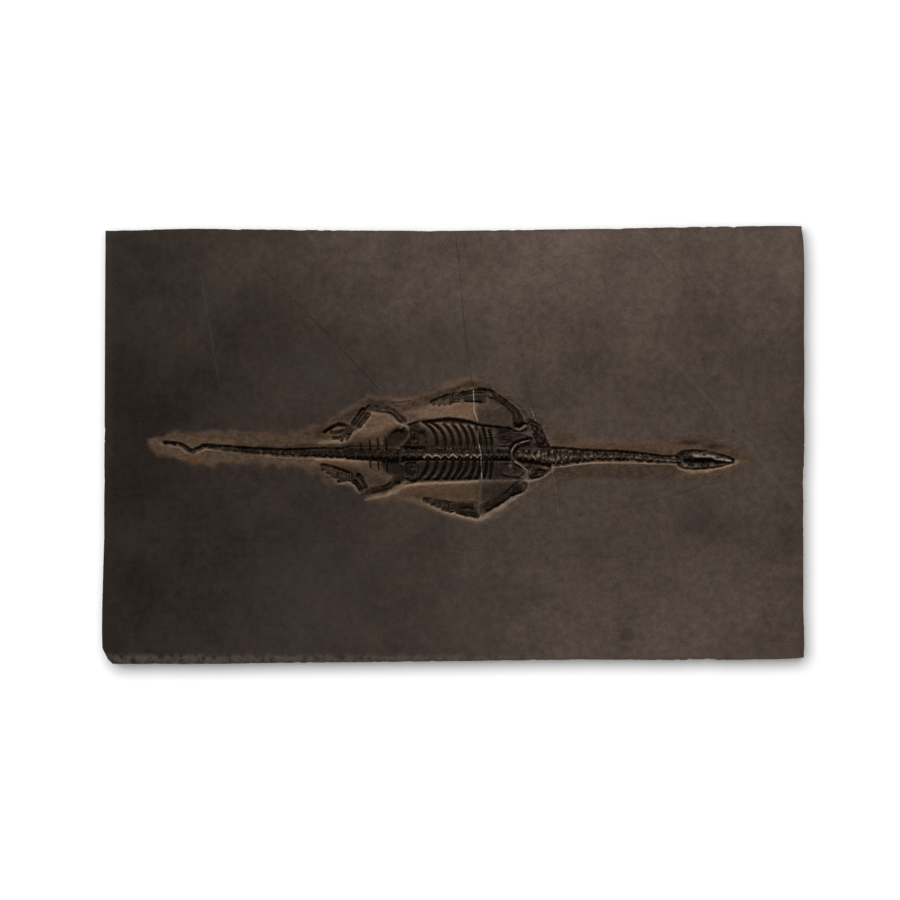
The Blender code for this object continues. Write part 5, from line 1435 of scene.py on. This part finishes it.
class FOSSIL_OT_stage(FossilOperator, bpy.types.Operator):
    """Make the floor, the lights, the surroundings and the camera"""
    bl_idname = "fossil.stage"
    bl_label = "Stage"

    def execute(self, context):
        settings = context.scene.fossil_stage
        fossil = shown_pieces()
        mesh = bpy.data.meshes.new("floor")
        mesh.from_pydata([(-FLOOR_REACH, -FLOOR_REACH, 0.0), (FLOOR_REACH, -FLOOR_REACH, 0.0),
                          (FLOOR_REACH, FLOOR_REACH, 0.0), (-FLOOR_REACH, FLOOR_REACH, 0.0)], [], [(0, 1, 2, 3)])
        material, tree, place, shader = new_material("Pale floor")
        tree.links.new(blend(tree, noise(tree, place, 3.0), (0.6, 0.6, 0.6, 1.0), (0.63, 0.63, 0.63, 1.0)),
                       shader.inputs["Base Color"])
        shader.inputs["Roughness"].default_value = 0.9
        mesh.materials.append(material)
        floor = bpy.data.objects.new("floor", mesh)
        context.scene.collection.objects.link(floor)
        floor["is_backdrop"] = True
        add_light("Raking light", "AREA", settings.key_place, (0.0, 0.0, STONE_TOP * MM), fossil,
                  energy=settings.key_power, size=settings.key_size, color=(1.0, 0.97, 0.93))
        add_light("Floor light", "SUN", (-0.1, 0.145, 1.0), (0.0, 0.0, 0.0), [floor],
                  energy=settings.floor_power, angle=math.radians(34.0))

        world = bpy.data.worlds.new("Soft surroundings")
        world.use_nodes = True
        tree = world.node_tree
        even = tree.nodes["Background"]
        even.inputs["Color"].default_value = (1.0, 1.0, 1.0, 1.0)
        even.inputs["Strength"].default_value = settings.fill
        seen = node(tree, "Background", {"Color": (1.0, 1.0, 1.0, 1.0), "Strength": 1.0})
        choice = node(tree, "MixShader", {0: node(tree, "LightPath").outputs["Is Camera Ray"],
                                          1: even.outputs[0], 2: seen.outputs[0]})
        tree.links.new(choice.outputs[0], tree.nodes["World Output"].inputs["Surface"])
        context.scene.world = world
        context.scene.view_settings.view_transform = "Standard"

        camera = bpy.data.cameras.new("camera")
        camera.lens = camera.sensor_width * settings.camera_height / settings.view_width
        camera.clip_end = 10.0
        obj = bpy.data.objects.new("camera", camera)
        obj.location = (*settings.aim, STONE_TOP * MM + settings.camera_height)
        context.scene.collection.objects.link(obj)
        context.scene.camera = obj
        return {"FINISHED"}


PIECES = (FOSSIL_OT_stone_slab, FOSSIL_OT_skull, FOSSIL_OT_spine, FOSSIL_OT_girdles, FOSSIL_OT_limbs,
          FOSSIL_OT_stage)
SETTINGS = {"fossil_stone": FossilStoneSettings, "fossil_bone": FossilBoneSettings,
            "fossil_stage": FossilStageSettings}


class FOSSIL_PT_panel(bpy.types.Panel):
    """Lists the fossil's pieces and their settings"""
    bl_idname = "FOSSIL_PT_panel"
    bl_label = "Keichousaurus fossil"
    bl_space_type = "VIEW_3D"
    bl_region_type = "UI"
    bl_category = "Fossil"

    def draw(self, context):
        for operator in PIECES:
            self.layout.operator(operator.bl_idname)
        for word, group in SETTINGS.items():
            box = self.layout.box()
            for setting in group.__annotations__:
                box.prop(getattr(context.scene, word), setting)


def register():
    """Registers the classes and hangs the settings on the scene."""
    for kind in (*SETTINGS.values(), *PIECES, FOSSIL_PT_panel):
        bpy.utils.register_class(kind)
    for word, group in SETTINGS.items():
        setattr(bpy.types.Scene, word, PointerProperty(type=group))


def unregister():
    """Takes back what register did."""
    for word in SETTINGS:
        delattr(bpy.types.Scene, word)
    for kind in (FOSSIL_PT_panel, *reversed(PIECES), *reversed(SETTINGS.values())):
        bpy.utils.unregister_class(kind)


def main():
    """Registers the add-on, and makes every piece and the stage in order."""
    register()
    for operator in PIECES:
        space, action = operator.bl_idname.split(".")
        getattr(getattr(bpy.ops, space), action)()


if __name__ == "__main__":
    main()
